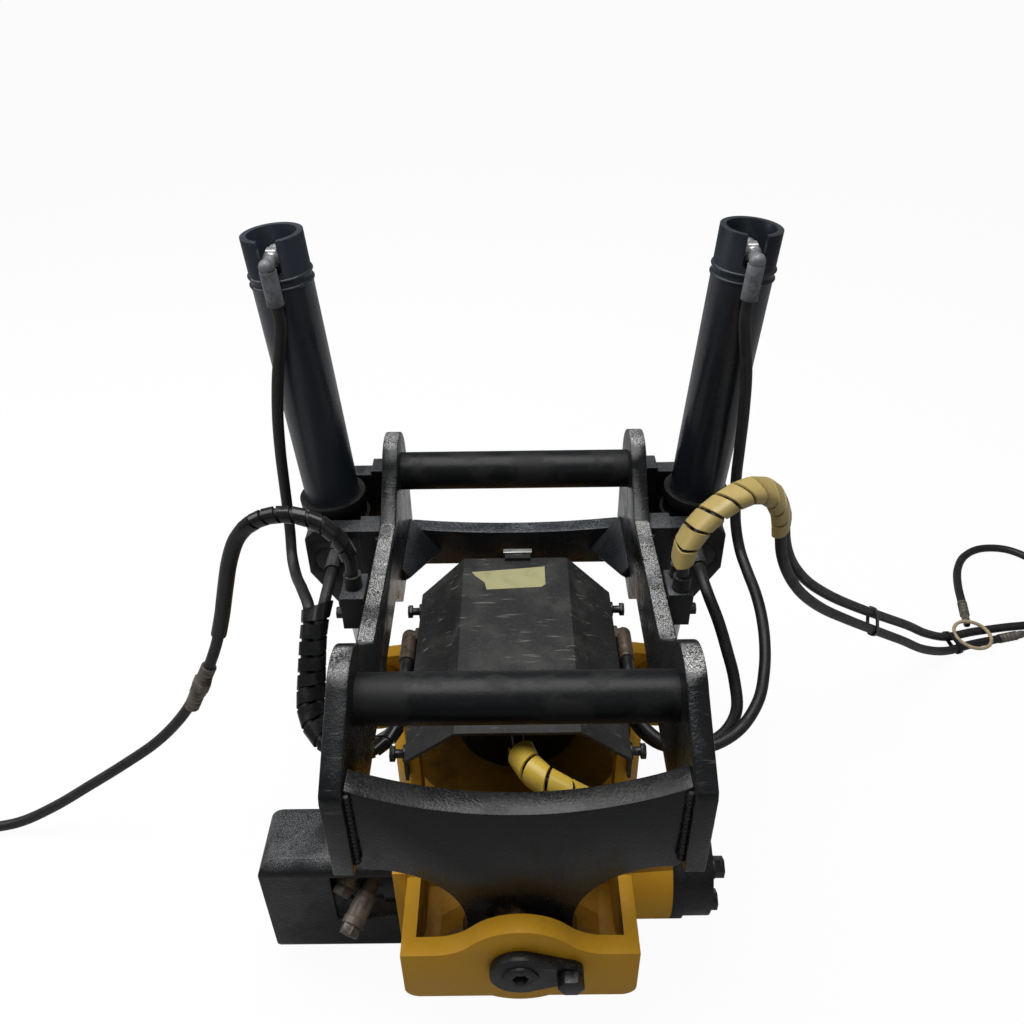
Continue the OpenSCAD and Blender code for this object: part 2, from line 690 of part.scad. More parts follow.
module lock_plates() {
    color(black) {
        difference() {
            plate_y(front_wall_y - lock_t, front_wall_y) lock_outline();
            bar_y(0, tilt_z, front_wall_y - lock_t - 1, front_wall_y - lock_t / 2, 8, 6);
        }
        difference() {
            plate_y(front_wall_y - lock_t - 3, front_wall_y - lock_t) translate([0, tilt_z]) circle(pin_r - 7);
            bar_y(0, tilt_z, front_wall_y - lock_t - 4, front_wall_y, 8, 6);
        }
        plate_y(rear_wall_y + wall_t, rear_wall_y + wall_t + lock_t) lock_outline();
    }
}

module lock_bolts() {
    face = front_wall_y - lock_t;
    back = rear_wall_y + wall_t + lock_t;
    color(black) {
        bar_y(lock_pitch, tilt_z, face, front_wall_y + wall_t - 3, lock_bolt_r);
        bar_y(lock_pitch, tilt_z, face - 12, face, 13, 6);
        bar_y(lock_pitch, tilt_z, rear_wall_y + 3, back, lock_bolt_r);
        bar_y(lock_pitch, tilt_z, back, back + 12, 13, 6);
    }
}

module lug_pins() {
    reach = ear_gap + lug_ear_t;
    color(steel) for (s = [-1, 1]) {
        bar_y(s * lug.x, lug.z, cyl_y - reach, cyl_y + reach, lug_pin_r);
        for (y = [cyl_y - reach - 6, cyl_y + reach]) bar_y(s * lug.x, lug.z, y, y + 6, lug_pin_r + 5);
    }
}

// Folded cover

module cover_outline(half, crown, top, eave, low) {
    polygon([[-half, low], [-half, eave], [-crown, top], [crown, top], [half, eave], [half, low]]);
}

module cover_plan(inset) {
    cut = cover_half - cover_crown;
    polygon([[-cover_half - 1, cover_front - 1], [cover_half + 1, cover_front - 1],
        [cover_half + 1, cover_cut_y - inset], [cover_half - cut + inset / 2, cover_rear - inset],
        [-cover_half + cut - inset / 2, cover_rear - inset], [-cover_half - 1, cover_cut_y - inset]]);
}

module top_cover() {
    t = sheet_t;
    color(black) difference() {
        union() {
            intersection() {
                plate_y(cover_front, cover_rear)
                    cover_outline(cover_half, cover_crown, cover_top, cover_eave_z, cover_low_z);
                linear_extrude(cover_top + 1) cover_plan(0);
            }
            box([-14, cover_rear - 6, cover_top], [20, cover_rear + 6, cover_top + 5]);
        }
        intersection() {
            plate_y(cover_front - 1, cover_rear) cover_outline(cover_half - t, cover_crown - t / 3,
                cover_top - t, cover_eave_z - t / 2, cover_low_z - 1);
            linear_extrude(cover_top + 1) cover_plan(t);
        }
        for (s = [-1, 1]) on_side(s)
            box([cover_half - 20, port_y - port_window, 0],
                [cover_half + 1, port_y + port_window, cover_eave_z - 1]);
        cover_bolt_places() translate([0, 0, cover_half - 30]) cylinder(r = 5, h = 40);
    }
}

module cover_bolts() {
    color(black) cover_bolt_places() {
        translate([0, 0, cover_half - sheet_t - post_t]) cylinder(r = 5, h = sheet_t + post_t + 12);
        translate([0, 0, cover_half]) cylinder(r = 10, h = 3);
        translate([0, 0, cover_half + 12]) cylinder(r = 9, h = 6, $fn = 6);
    }
}

// Hitch frame

module side_outline() {
    reach = front_y - plate_front_y - 3;
    drop = 3;
    a = 180 + atan(drop / reach) - acos(ear_r / norm([reach, drop]));
    r = ear_r - 1;
    polygon([[plate_front_y, front_low_z], [plate_front_y, front_axle_z - drop - 8],
        [plate_front_y + 3, front_axle_z - drop], [front_y + r * cos(a), front_axle_z + r * sin(a)],
        [front_y + r * cos(42), front_axle_z + r * sin(42)], [front_y + 108, 424], [rear_y - 100, 414],
        [rear_y - r * cos(35), rear_axle_z + r * sin(35)],
        [rear_y + r * cos(8), rear_axle_z + r * sin(8)], [plate_rear_y, rear_axle_z - 50],
        [plate_rear_y, rear_low_z], [drop_y + 50, rear_low_z], [drop_y, front_low_z]]);
}

module side_plate(s) {
    color(black) on_side(s) {
        plate_x(in_x, out_x) side_outline();
        bar_x(front_y, front_axle_z, in_x, out_x, ear_r);
        bar_x(rear_y, rear_axle_z, in_x, out_x, ear_r);
    }
}

module front_axle() {
    color(black) bar_x(front_y, front_axle_z, -in_x, in_x, axle_d / 2);
}

module rear_axle() {
    color(black) bar_x(rear_y, rear_axle_z, -in_x, in_x, axle_d / 2);
}

function dip_radius(dip) = (in_x * in_x + dip * dip) / (2 * dip);

module front_cross_plate() {
    dip_r = dip_radius(front_dip);
    y0 = front_cross_y;
    y1 = front_cross_y + cross_t;
    color(black) difference() {
        union() {
            plate_y(y0, y1) polygon([[-in_x, front_low_z], [-in_x, front_top_z], [in_x, front_top_z],
                [in_x, front_low_z], [boss_r - 2, tilt_z], [-boss_r + 2, tilt_z]]);
            bar_y(0, tilt_z, y0, y1, boss_r);
        }
        bar_y(0, front_top_z - front_dip + dip_r, y0 - 1, y1 + 1, dip_r, 360);
        for (s = [-1, 1]) bar_y(s * arch_x, arch_z, y0 - 1, y1 + 1, arch_r, 120);
        bar_y(0, tilt_z, y0 - 1, y1 + 1, bush_r);
    }
}

module rear_cross_plate() {
    dip_r = dip_radius(rear_dip);
    y0 = rear_cross_y;
    y1 = rear_cross_y + cross_t;
    color(black) difference() {
        union() {
            plate_y(y0, y1) polygon([[-in_x, rear_cross_low], [-in_x, rear_top_z], [in_x, rear_top_z],
                [in_x, rear_cross_low], [boss_r + 22, rear_cross_low], [boss_r - 2, tilt_z],
                [-boss_r + 2, tilt_z], [-boss_r - 22, rear_cross_low]]);
            bar_y(0, tilt_z, y0, y1, boss_r);
        }
        bar_y(0, rear_top_z - rear_dip + dip_r, y0 - 1, y1 + 1, dip_r, 360);
        bar_y(0, tilt_z, y0 - 1, y1 + 1, bush_r);
    }
}

// Sloping triangles that brace the rear cross plate to the side plates
module corner_gussets() {
    t = 12;
    slope = atan2(rear_top_z - tilt_z - 44, 32);
    color(black) for (s = [-1, 1]) on_side(s) intersection() {
        translate([in_x, rear_cross_y, rear_top_z]) rotate([0, 180 - slope, 0]) translate([0, 0, -t])
            linear_extrude(t) polygon([[-20, 20], [56, 20], [56, 0], [0, -117], [-20, -117]]);
        box([0, 0, 0], [in_x, rear_cross_y, front_axle_z]);
    }
}

module trunnion_lugs(s) {
    top = 406;
    inner_y = trunnion_gap;
    color(black) on_side(s) difference() {
        union() for (front = [0, 1]) {
            y0 = front ? cyl_y - inner_y - lug_t : cyl_y + inner_y;
            plate_y(y0, y0 + lug_t) polygon([[out_x, rear_low_z], [out_x, top], [trunnion.x + 18, top],
                [trunnion.x + 30, top - 12], [trunnion.x + 30, trunnion.z - 20], [trunnion.x, rear_low_z]]);
            box([out_x, front ? y0 - 8 : y0, rear_low_z + 10],
                [out_x + 27, front ? y0 + lug_t : y0 + lug_t + 8, top + 6]);
        }
        bar_y(trunnion.x, trunnion.z, cyl_y - lug_out_y - 20, cyl_y + lug_out_y + 20, journal_r + fit);
    }
}

module tilt_bushes() {
    color(bronze) for (y = [front_cross_y, rear_cross_y]) difference() {
        bar_y(0, tilt_z, y - side_gap + bush_gap, y + cross_t + side_gap - bush_gap, bush_r);
        bar_y(0, tilt_z, y - side_gap, y + cross_t + side_gap, pin_r + fit);
    }
}

// Port blocks on the side plates, with their hose sockets, and ports on the front trunnion lugs
module port_blocks() {
    lug_face = cyl_y - lug_out_y;
    color(black) for (s = [-1, 1]) {
        on_side(s) {
            box([out_x, block_y[0], block_z[0]], [out_x + block_t, block_y[1], block_z[1]]);
            for (y = [block_y[0] + 12, block_y[1] - 12])
                bar_x(y, block_z[0] + 14, out_x + block_t, out_x + block_t + 8, 7, 6);
            bar_y(rod_port.x, rod_port.z, rod_port_hex, lug_face, 12, 6);
            bar_y(rod_port.x, rod_port.z, rod_port.y, rod_port_hex, ferrule_r);
        }
        for (p = s < 0 ? [feed_left_route[0]] : [feed_right_route[0], feed_loop_route[0]])
            translate([p.x, p.y, block_z[1]]) cylinder(r = 10, h = p.z - block_z[1]);
    }
}

module hose_loop(route) {
    color(rubber) hose(from_split(route), hose_d / 2, top_split, len(route) - 1);
}

module hose_rod(route) {
    color(rubber) hose(route, hose_d / 2, 0, len(route) - 1);
}

module hose_top(route) {
    color(rubber) hose(route, hose_d / 2, 0, top_split);
}

module feed_hose_left() {
    color(rubber) hose(feed_left_route, feed_d / 2, 0, len(feed_left_route) - 1);
}

module feed_hose_right() {
    color(rubber) hose(feed_right_route, twin_d / 2, 0, len(feed_right_route) - 1);
}

module feed_hose_loop() {
    color(rubber) hose(feed_loop_route, twin_d / 2, 0, len(feed_loop_route) - 1);
}

// The fitting on the free end of each feed hose
module end_fitting(route, r) {
    n = len(route) - 1;
    d = unit(route[n] - route[n - 1]);
    translate(route[n]) rotate([0, 90, atan2(d.y, d.x)]) {
        cylinder(r = r, h = 34);
        translate([0, 0, 34]) cylinder(r = r - 1, h = 12, $fn = 6);
        translate([0, 0, 46]) cylinder(r = r - 2.5, h = 14);
    }
}

module feed_couplings() {
    color(plated) {
        end_fitting(feed_left_route, 7.9);
        end_fitting(feed_right_route, 7.9);
        end_fitting(feed_loop_route, 7.9);
    }
}

// Tilt cylinders

module barrel(s) {
    notch_half = 11;
    color(black) at_trunnion(s) difference() {
        union() {
            translate([0, 0, -tube_low]) cylinder(r = tube_r, h = tube_low + tube_top);
            for (z = [346, 356]) translate([0, 0, tube_top - 400 + z]) rotate_extrude()
                translate([tube_r, 0]) circle(bead_r, $fn = 24);
        }
        translate([0, 0, -tube_low - 1]) cylinder(r = bore_r, h = tube_low + tube_top + 2);
        box([-notch_half, -tube_r - 4, cap_top], [notch_half, 0, tube_top + 1]);
    }
}

module barrel_cap(s) {
    color(black) at_trunnion(s) translate([0, 0, cap_top - cap_t]) rotate_extrude()
        polygon([[0, 0], [bore_r, 0], [bore_r, cap_t - 3], [bore_r - 3, cap_t], [0, cap_t]]);
}

// Collar that carries the barrel: two journals, a neck and the seat flange
module barrel_trunnion(s) {
    color(black) at_trunnion(s) difference() {
        union() {
            translate([0, 0, -45]) rotate_extrude() polygon([[0, 0], [collar_r - 4, 0], [collar_r, 4],
                [collar_r, 65], [tube_r + 5, 65], [tube_r + 5, 83], [flange_disc_r, 83], [flange_disc_r, 98],
                [0, 98]]);
            bar_y(0, 0, -lug_out_y, lug_out_y, journal_r);
            bar_y(0, 0, -trunnion_gap + 1, trunnion_gap - 1, journal_r + 6);
        }
        translate([0, 0, -100]) cylinder(r = tube_r, h = 300);
    }
}

module barrel_gland(s) {
    nut_t = 12;
    color(steel) at_trunnion(s) translate([0, 0, -tube_low]) difference() {
        union() {
            cylinder(r = bore_r, h = 32);
            translate([0, 0, -nut_t]) cylinder(r = tube_r - 1, h = nut_t);
        }
        translate([0, 0, -nut_t - 1]) cylinder(r = rod_r + fit, h = 60);
    }
}

// Fitting from the cap, out through the notch and down into the hose ferrule
module barrel_elbow(s) {
    arm_z = cap_top + 16;
    color(plated) at_trunnion(s) {
        translate([0, 0, cap_top]) cylinder(r = 12, h = 8, $fn = 6);
        translate([0, 0, cap_top]) cylinder(r = 8, h = 16);
        translate([0, 0, arm_z]) sphere(9);
        bar_y(0, arm_z, -ferrule_off, 0, 7);
        translate([0, -ferrule_off, arm_z]) sphere(9);
        translate([0, -ferrule_off, ferrule_low]) cylinder(r = ferrule_r, h = arm_z - ferrule_low - 4);
    }
}

module rod(s) {
    color(steel) at_lug(s) difference() {
        union() {
            cylinder(r = rod_r, h = piston_at - piston_t / 2);
            bar_y(0, 0, -eye_half, eye_half, eye_r);
        }
        bar_y(0, 0, -eye_half - 1, eye_half + 1, lug_pin_r + fit);
    }
}

module piston(s) {
    half = piston_t / 2;
    r = bore_r - fit;
    color(steel) at_lug(s) translate([0, 0, piston_at]) rotate_extrude() polygon([[0, -half], [r, -half],
        [r, -6], [bore_r - 3, -6], [bore_r - 3, 6], [r, 6], [r, half], [0, half]]);
}

rotor_hub();
worm_wheel();
wheel_bolts();
swivel_core();
gear_housing();
bearing_carrier();
slew_bearings();
swivel_block();
worm_bearings();
worm_cap();
cap_bolts();
drive_motor();
motor_guard();
capped_couplings();
tilt_pin_front();
tilt_pin_rear();
lock_plates();
lock_bolts();
lug_pins();
top_cover();
cover_bolts();
port_elbows();
swivel_hose();
worm_shaft();
worm_thread();
side_plate(-1);  // side_plate_left
side_plate(1);  // side_plate_right
front_axle();
rear_axle();
front_cross_plate();
rear_cross_plate();
corner_gussets();
trunnion_lugs(-1);  // trunnion_lugs_left
trunnion_lugs(1);  // trunnion_lugs_right
tilt_bushes();
port_blocks();
hose_loop(top_left_route);  // hose_loop_left
hose_loop(top_right_route);  // hose_loop_right
hose_rod(rod_left_route);  // hose_rod_left
hose_rod(rod_right_route);  // hose_rod_right
feed_hose_left();
feed_hose_right();
feed_hose_loop();
feed_couplings();
barrel(-1);  // barrel_left
barrel_cap(-1);  // barrel_cap_left
barrel_trunnion(-1);  // barrel_trunnion_left
barrel_gland(-1);  // barrel_gland_left
barrel_elbow(-1);  // barrel_elbow_left
hose_top(top_left_route);  // hose_top_left
barrel(1);  // barrel_right
barrel_cap(1);  // barrel_cap_right
barrel_trunnion(1);  // barrel_trunnion_right
barrel_gland(1);  // barrel_gland_right
barrel_elbow(1);  // barrel_elbow_right
hose_top(top_right_route);  // hose_top_right
rod(-1);  // rod_left
piston(-1);  // piston_left
rod(1);  // rod_right
piston(1);  // piston_right
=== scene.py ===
"""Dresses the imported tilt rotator: paint, hoses, spiral wrap, welds and the studio around it."""

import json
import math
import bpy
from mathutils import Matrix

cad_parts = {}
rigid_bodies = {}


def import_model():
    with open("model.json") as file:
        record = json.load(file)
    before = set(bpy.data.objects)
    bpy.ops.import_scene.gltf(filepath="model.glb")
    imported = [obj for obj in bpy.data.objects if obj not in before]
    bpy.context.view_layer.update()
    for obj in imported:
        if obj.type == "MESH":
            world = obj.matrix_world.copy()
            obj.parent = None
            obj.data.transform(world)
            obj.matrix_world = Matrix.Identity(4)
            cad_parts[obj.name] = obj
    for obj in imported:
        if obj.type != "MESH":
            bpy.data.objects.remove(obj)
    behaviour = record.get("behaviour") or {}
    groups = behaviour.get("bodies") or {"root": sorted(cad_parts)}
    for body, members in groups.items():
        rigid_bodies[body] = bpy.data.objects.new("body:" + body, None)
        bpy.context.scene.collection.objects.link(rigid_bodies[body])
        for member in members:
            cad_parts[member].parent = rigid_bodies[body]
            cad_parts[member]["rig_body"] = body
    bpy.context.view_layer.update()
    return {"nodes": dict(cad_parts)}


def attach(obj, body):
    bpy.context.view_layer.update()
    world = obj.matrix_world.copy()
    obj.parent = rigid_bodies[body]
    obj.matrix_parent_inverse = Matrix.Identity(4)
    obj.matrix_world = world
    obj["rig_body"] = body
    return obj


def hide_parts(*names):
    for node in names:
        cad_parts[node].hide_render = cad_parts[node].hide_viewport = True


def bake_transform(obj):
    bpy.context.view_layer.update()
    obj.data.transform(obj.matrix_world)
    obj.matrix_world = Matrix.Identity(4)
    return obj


bl_info = {
    "name": "Tilt rotator dressing",
    "version": (1, 0, 0),
    "blender": (4, 5, 0),
    "location": "View3D > Sidebar > Rotator",
    "description": "Builds the finishes, hoses and small parts of a tilt rotator on its packed frame",
    "category": "Object",
}

import bmesh
import bpy
from bpy.props import FloatProperty, FloatVectorProperty, IntProperty, PointerProperty
from bpy.types import Operator, Panel, PropertyGroup
from mathutils import Matrix, Vector

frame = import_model()
NODES = frame["nodes"]
MM = 0.001

# Hose routes in millimetres. They are the solids' own, except for the loop of TOP_LEFT and the arches of
# FEED_RIGHT and FEED_LOOP, which follow the photo more closely.
TOP_RIGHT = [(259.4, 142, 694.9), (258, 142, 675), (262, 142, 645), (269, 142, 605), (273, 142, 555),
             (275, 143, 505), (277, 145, 460), (281, 145, 420), (285, 139, 386), (290, 121, 361),
             (295, 93, 349), (299, 60, 342), (300, 26, 334), (298, -8, 322), (293, -38, 306), (282, -68, 286),
             (255, -95, 265), (216, -106, 250), (178, -96, 244), (150, -70, 249), (138, -36, 264),
             (138, -8, 274), (138, 15, 274)]
TOP_LEFT = [(-259.4, 142, 694.9), (-258, 142, 675), (-263, 142, 645), (-272, 142, 605), (-280, 142, 555),
            (-285, 143, 505), (-288, 145, 460), (-290, 145, 420), (-290, 137, 387), (-287, 116, 363),
            (-277, 86, 357), (-261, 47, 368), (-245, 6, 369), (-246, -20, 344), (-249, -44, 309),
            (-247, -76, 282), (-231, -98, 263), (-202, -107, 249), (-171, -99, 243), (-148, -77, 246),
            (-138, -48, 257), (-138, -10, 274), (-138, 15, 274)]
ROD_RIGHT = [(222, 52, 392), (222, 32, 392), (226, 6, 385), (236, -15, 364), (247, -30, 332), (257, -46, 298),
             (258, -70, 270), (241, -86, 249), (208, -92, 235), (170, -80, 226), (146, -56, 230),
             (138, -32, 239), (138, -8, 248), (138, 15, 248)]
ROD_LEFT = [(-222, 52, 392), (-222, 32, 392), (-224, 6, 386), (-229, -16, 366), (-233, -31, 334),
            (-235, -46, 302), (-232, -67, 280), (-220, -83, 260), (-197, -88, 243), (-171, -80, 232),
            (-150, -60, 231), (-138, -34, 239), (-138, -8, 248), (-138, 15, 248)]
FEED_LEFT = [(-182, -20, 446), (-182, -20, 468), (-190, -19, 493), (-208, -16, 512), (-234, -12, 521),
             (-262, -8, 519), (-287, -4, 506), (-307, -1, 484), (-322, 0, 452), (-335, 0, 410),
             (-348, 0, 365), (-363, -1, 322), (-382, -3, 280), (-404, -5, 240), (-432, -8, 200),
             (-470, -11, 160), (-520, -15, 122), (-576, -20, 84), (-634, -25, 46), (-690, -29, 18),
             (-745, -31, 8), (-795, -33, 8)]
FEED_RIGHT = [(184, -30, 446), (184, -30, 468), (190, -27, 489), (203, -21, 507), (222, -11, 520),
              (245, 2, 526), (268, 16, 522), (287, 27, 507), (300, 34, 484), (307, 39, 456), (315, 44, 420),
              (330, 53, 382), (357, 70, 336), (400, 97, 284), (458, 133, 228), (524, 174, 168),
              (590, 213, 110), (652, 250, 54), (712, 284, 17), (765, 308, 8), (815, 320, 8)]
FEED_LOOP = [(184, -8, 446), (184, -8, 468), (190, -7, 488), (203, -3, 506), (223, 5, 520), (247, 18, 527),
             (271, 32, 523), (291, 43, 508), (305, 51, 484), (315, 57, 456), (324, 62, 420), (341, 73, 380),
             (373, 95, 332), (422, 127, 278), (482, 165, 222), (548, 207, 164), (612, 248, 108),
             (668, 284, 56), (724, 316, 18), (780, 338, 8), (838, 348, 8), (894, 356, 8), (942, 378, 8),
             (976, 420, 8), (986, 474, 8), (972, 526, 8), (936, 562, 8), (888, 566, 8), (848, 544, 8),
             (820, 506, 8), (802, 460, 8), (790, 412, 8)]
SWIVEL = [(0, -100, 290), (0, -122, 290), (5, -150, 291), (21, -176, 291), (46, -192, 287), (73, -198, 273),
          (94, -197, 249), (104, -193, 220), (106, -190, 196)]
# The point of a top route where the hose leaves the barrel's side and its loop begins
TOP_SPLIT = 9
# Steps between two points of a smooth route, and finer ones for finding a neighbour's nearest point
ROUTE_STEPS = 6
FINE_STEPS = 24

# Where each hose would start and end its bend between two bodies, in metres
FRAME_TO_HOUSING = ("upper_frame", "housing")
TOP_BEND_START = {"left": (-0.262, 0.143, 0.5), "right": (0.262, 0.143, 0.5)}
LOOP_BEND = {"left": ((-0.245, 0.02, 0.37), (-0.155, -0.008, 0.266)),
             "right": ((0.3, 0.05, 0.345), (0.145, 0, 0.265))}
ROD_BEND = {"left": ((-0.245, 0.02, 0.37), (-0.155, -0.008, 0.266)),
            "right": ((0.245, 0.02, 0.37), (0.155, -0.008, 0.266))}
FEED_LEFT_BEND = ((-0.2, -0.015, 0.3), (-0.69, -0.015, 0.3))
FEED_RIGHT_BEND = ((0.29, 0.03, 0.5), (0.7, 0.28, 0.03))

# The coupling in the left feed hose, in millimetres: upper end, axis and length of its upper half
INLINE_PLACE = (-378, -3, 288)
INLINE_AXIS = (-0.46, -0.04, -0.887)
INLINE_UPPER = 40

# The sleeve below the left feed hose's wrap, in metres along the hose
SLEEVE_START = 0.158
SLEEVE_LENGTH = 0.186
SLEEVE_WALL = 0.0022
SLEEVE_STEPS = 40
SLEEVE_SIDES = 24

# Spiral wrap: steps in one turn and the band's chamfer in metres
TURN_STEPS = 20
BAND_CHAMFER = 0.0005

# Folds of the cover: y of their rear, deepest line and front end, lowest z, and where a slope begins in x.
# Each fold has its side, the x of ridge, valley and foot at rear and deepest line, and its depth.
FOLD_REAR, FOLD_DEEPEST, FOLD_END = 0.125, -0.06, -0.1
FOLD_LOW = 0.26
SLOPE_FACE_X, SLOPE_VERT_X = 0.05, 0.06
FOLD_SHARP_DEGREES = 12
COVER_FOLDS = ((-1, [(0.0712, 0.0712), (0.077, 0.082), (0.1, 0.114)], 0.011),
               (1, [(0.0712, 0.0712), (0.074, 0.09), (0.078, 0.116)], 0.015))

# Painted shade inside the housing's front pockets and under its hood: half its width, its range in y, its
# lowest z, and above which z only faces that look to the front or rear have it
SHADE_X = 0.1012
SHADE_Y = (-0.3262, 0.1)
SHADE_Z = 0.12
LIT_Z = 0.238

# Dust caps, in millimetres: the couplings' axis, and where each one starts and how long it is
CAP_AXIS = (-0.382, -0.859, -0.342)
CAPPED = (((-166, -195, 140), 56), ((-182, -170, 158), 44))
CAP_OVERLAP = 8

# Small plates on the housing, by two corners in metres, and their rounding; the plates on the pocket webs
# carry painted shade
TAB_LOW, TAB_HIGH = (-0.016, 0.147, 0.3402), (0.022, 0.155, 0.3422)
WEB_X, WEB_Y, WEB_Z = (0.084, 0.102), (-0.284, -0.2), (0.147, 0.157)
PLATE_EDGE = 0.0006

# Tape on the crown: outline in millimetres, then height and thickness in metres
TAPE_OUTLINE = [(-57, 115), (-52, 107), (-40, 94), (-37, 80), (33, 84), (38, 89), (38, 125), (4, 121)]
TAPE_Z = 0.3352
TAPE_THICKNESS = 0.0004

# The tie ring's section, place and axis, in millimetres
RING_SECTION = [(33, 0), (32.1, 2.1), (30, 3), (27.9, 2.1), (27, 0), (27.9, -2.1), (30, -3), (32.1, -2.1),
                (33, 0)]
RING_PLACE = (768, 320, 18.2)
RING_AXIS = (0.05, -0.1, 1)

# The right barrel's swing axis in millimetres, its lean in degrees, and the nut's place from there
BARREL_AXIS_X, BARREL_AXIS_Y, BARREL_AXIS_Z = 236.064, 189, 360.841
BARREL_LEAN = 4
NUT_UP = 378
NUT_OUT = (0, -10, 0)

# Upright weld beads of the right side, in millimetres: x, y, lower and upper end
WELDS = (("front", 147, -317, 352, 446), ("inner", 147, -288, 352, 440), ("rear", 147, 244, 296, 304),
         ("lug", 171, 102, 300, 404))
# Step between points of a bead, in metres
WELD_STEP = 0.0012

# Studio: lights by place, aim, size and power; then the camera's place and its angles in degrees
LIGHTS = (("light_top", (-0.2, 0.2, 2.7), (0, 0, 0.3), 2.0, 68.0),
          ("light_left", (-2.2, 0.4, 1.9), (0, 0, 0.4), 1.6, 24.0),
          ("light_front", (0.9, -2.2, 1.6), (0, 0, 0.2), 1.8, 3.0))
CAMERA_PLACE = (0, -0.8078, 1.093)
CAMERA_TURN, CAMERA_PITCH, CAMERA_ROLL = 0.22, 54.35, -0.83
CAMERA_SENSOR, CAMERA_LENS = 36.0, 32.17
FLOOR_SIZE = 30.0
FLOOR_COLOUR = (0.42, 0.42, 0.42, 1.0)
FLOOR_ROUGHNESS = 0.9
FLOOR_GLOW, FLOOR_GLOW_SHARE = 1.06, 0.9
SKY_COLOUR, SKY_STRENGTH = (0.9, 0.95, 1.0, 1.0), 0.17
WHITE = (1.0, 1.0, 1.0, 1.0)


def length_of(name, about, default):
    """A length in metres."""
    return FloatProperty(name=name, description=about, default=default, unit="LENGTH")


def colour_of(name, about, default):
    """A linear colour."""
    return FloatVectorProperty(name=name, description=about, subtype="COLOR", default=default)


class RotatorSizes(PropertyGroup):
    """Sizes of the dressed parts."""

    hose: length_of("Hose", "Outer diameter of every hose", 0.014)
    wrap_wall: length_of("Wrap wall", "Thickness of the spiral wrap", 0.0022)
    wrap_pitch: length_of("Wrap pitch", "Advance of the spiral wrap in one turn", 0.022)
    wrap_gap: length_of("Wrap gap", "Open slit between turns of the wrap", 0.003)
    edge: length_of("Edge", "Rounding of plate edges", 0.0018)
    bead: length_of("Weld bead", "Radius of the weld beads", 0.0036)
    hose_sides: IntProperty(name="Hose sides", description="Sides of a hose's section",
                            default=20, min=8, max=48)


class RotatorColours(PropertyGroup):
    """Colours of the finishes."""

    black: colour_of("Black paint", "Paint of the hitch frame", (0.006, 0.0064, 0.007))
    worn: colour_of("Worn paint", "Paint worn bright on top faces", (0.6, 0.595, 0.58))
    # The blue tint is partly the paint's own and partly a painted blue sheen
    barrel: colour_of("Barrel paint", "Paint of the tilt cylinders", (0.019, 0.0235, 0.031))
    yellow: colour_of("Yellow paint", "Paint of the gear housing", (0.57, 0.29, 0.018))
    yellow_dirt: colour_of("Yellow dirt", "Grime on the gear housing", (0.22, 0.11, 0.02))
    wrap: colour_of("Yellow wrap", "Spiral wrap of the right feed hoses", (0.42, 0.315, 0.11))
    rubber: colour_of("Rubber", "Hose cover", (0.012, 0.012, 0.013))
    rust: colour_of("Ferrule", "Dull ferrules and fittings", (0.12, 0.085, 0.06))
    tape: colour_of("Tape", "Bare paper tape on the cover", (0.36, 0.337, 0.174))


# Shader groups


def socket_group(name, inputs, output):
    """A shader group with float inputs and one float output: its tree, input node and output node."""
    tree = bpy.data.node_groups.new(name, "ShaderNodeTree")
    for label, value in inputs:
        socket = tree.interface.new_socket(name=label, in_out="INPUT", socket_type="NodeSocketFloat")
        socket.default_value = value
    tree.interface.new_socket(name=output, in_out="OUTPUT", socket_type="NodeSocketFloat")
    return tree, tree.nodes.new("NodeGroupInput"), tree.nodes.new("NodeGroupOutput")


def add(tree, kind, links=(), **values):
    """Adds a node, sets its attributes and links (source socket, input name or index)."""
    node = tree.nodes.new(kind)
    for key, value in values.items():
        setattr(node, key, value)
    for source, place in links:
        tree.links.new(source, node.inputs[place])
    return node


def give(tree, place, value):
    """Links a socket to an input, or sets the input to a value."""
    if hasattr(value, "is_output"):
        tree.links.new(value, place)
    else:
        place.default_value = value


def ramp_range(tree, value, low, high, to_low=0.0, to_high=1.0):
    """A smooth map of a value from low..high to another range."""
    node = add(tree, "ShaderNodeMapRange", [(value, 0)], interpolation_type="SMOOTHSTEP")
    for index, number in zip((1, 2, 3, 4), (low, high, to_low, to_high)):
        give(tree, node.inputs[index], number)
    return node.outputs[0]


def noise(tree, vector, **values):
    """The value of a noise texture whose inputs are sockets or numbers."""
    node = add(tree, "ShaderNodeTexNoise", [(vector, "Vector")])
    for key, value in values.items():
        give(tree, node.inputs[key], value)
    return node.outputs[0]


def times(tree, first, second):
    """The product of two values."""
    return add(tree, "ShaderNodeMath", [(first, 0), (second, 1)], operation="MULTIPLY").outputs[0]


def patch_group():
    """Soft patches: grime, fading and stains."""
    tree, given, result = socket_group("patches", [("Scale", 12.0), ("Low", 0.42), ("High", 0.7)], "Mask")
    place = add(tree, "ShaderNodeTexCoord").outputs["Object"]
    cloud = noise(tree, place, Scale=given.outputs["Scale"], Detail=7.0, Roughness=0.62)
    mask = ramp_range(tree, cloud, given.outputs["Low"], given.outputs["High"])
    tree.links.new(mask, result.inputs["Mask"])
    return tree


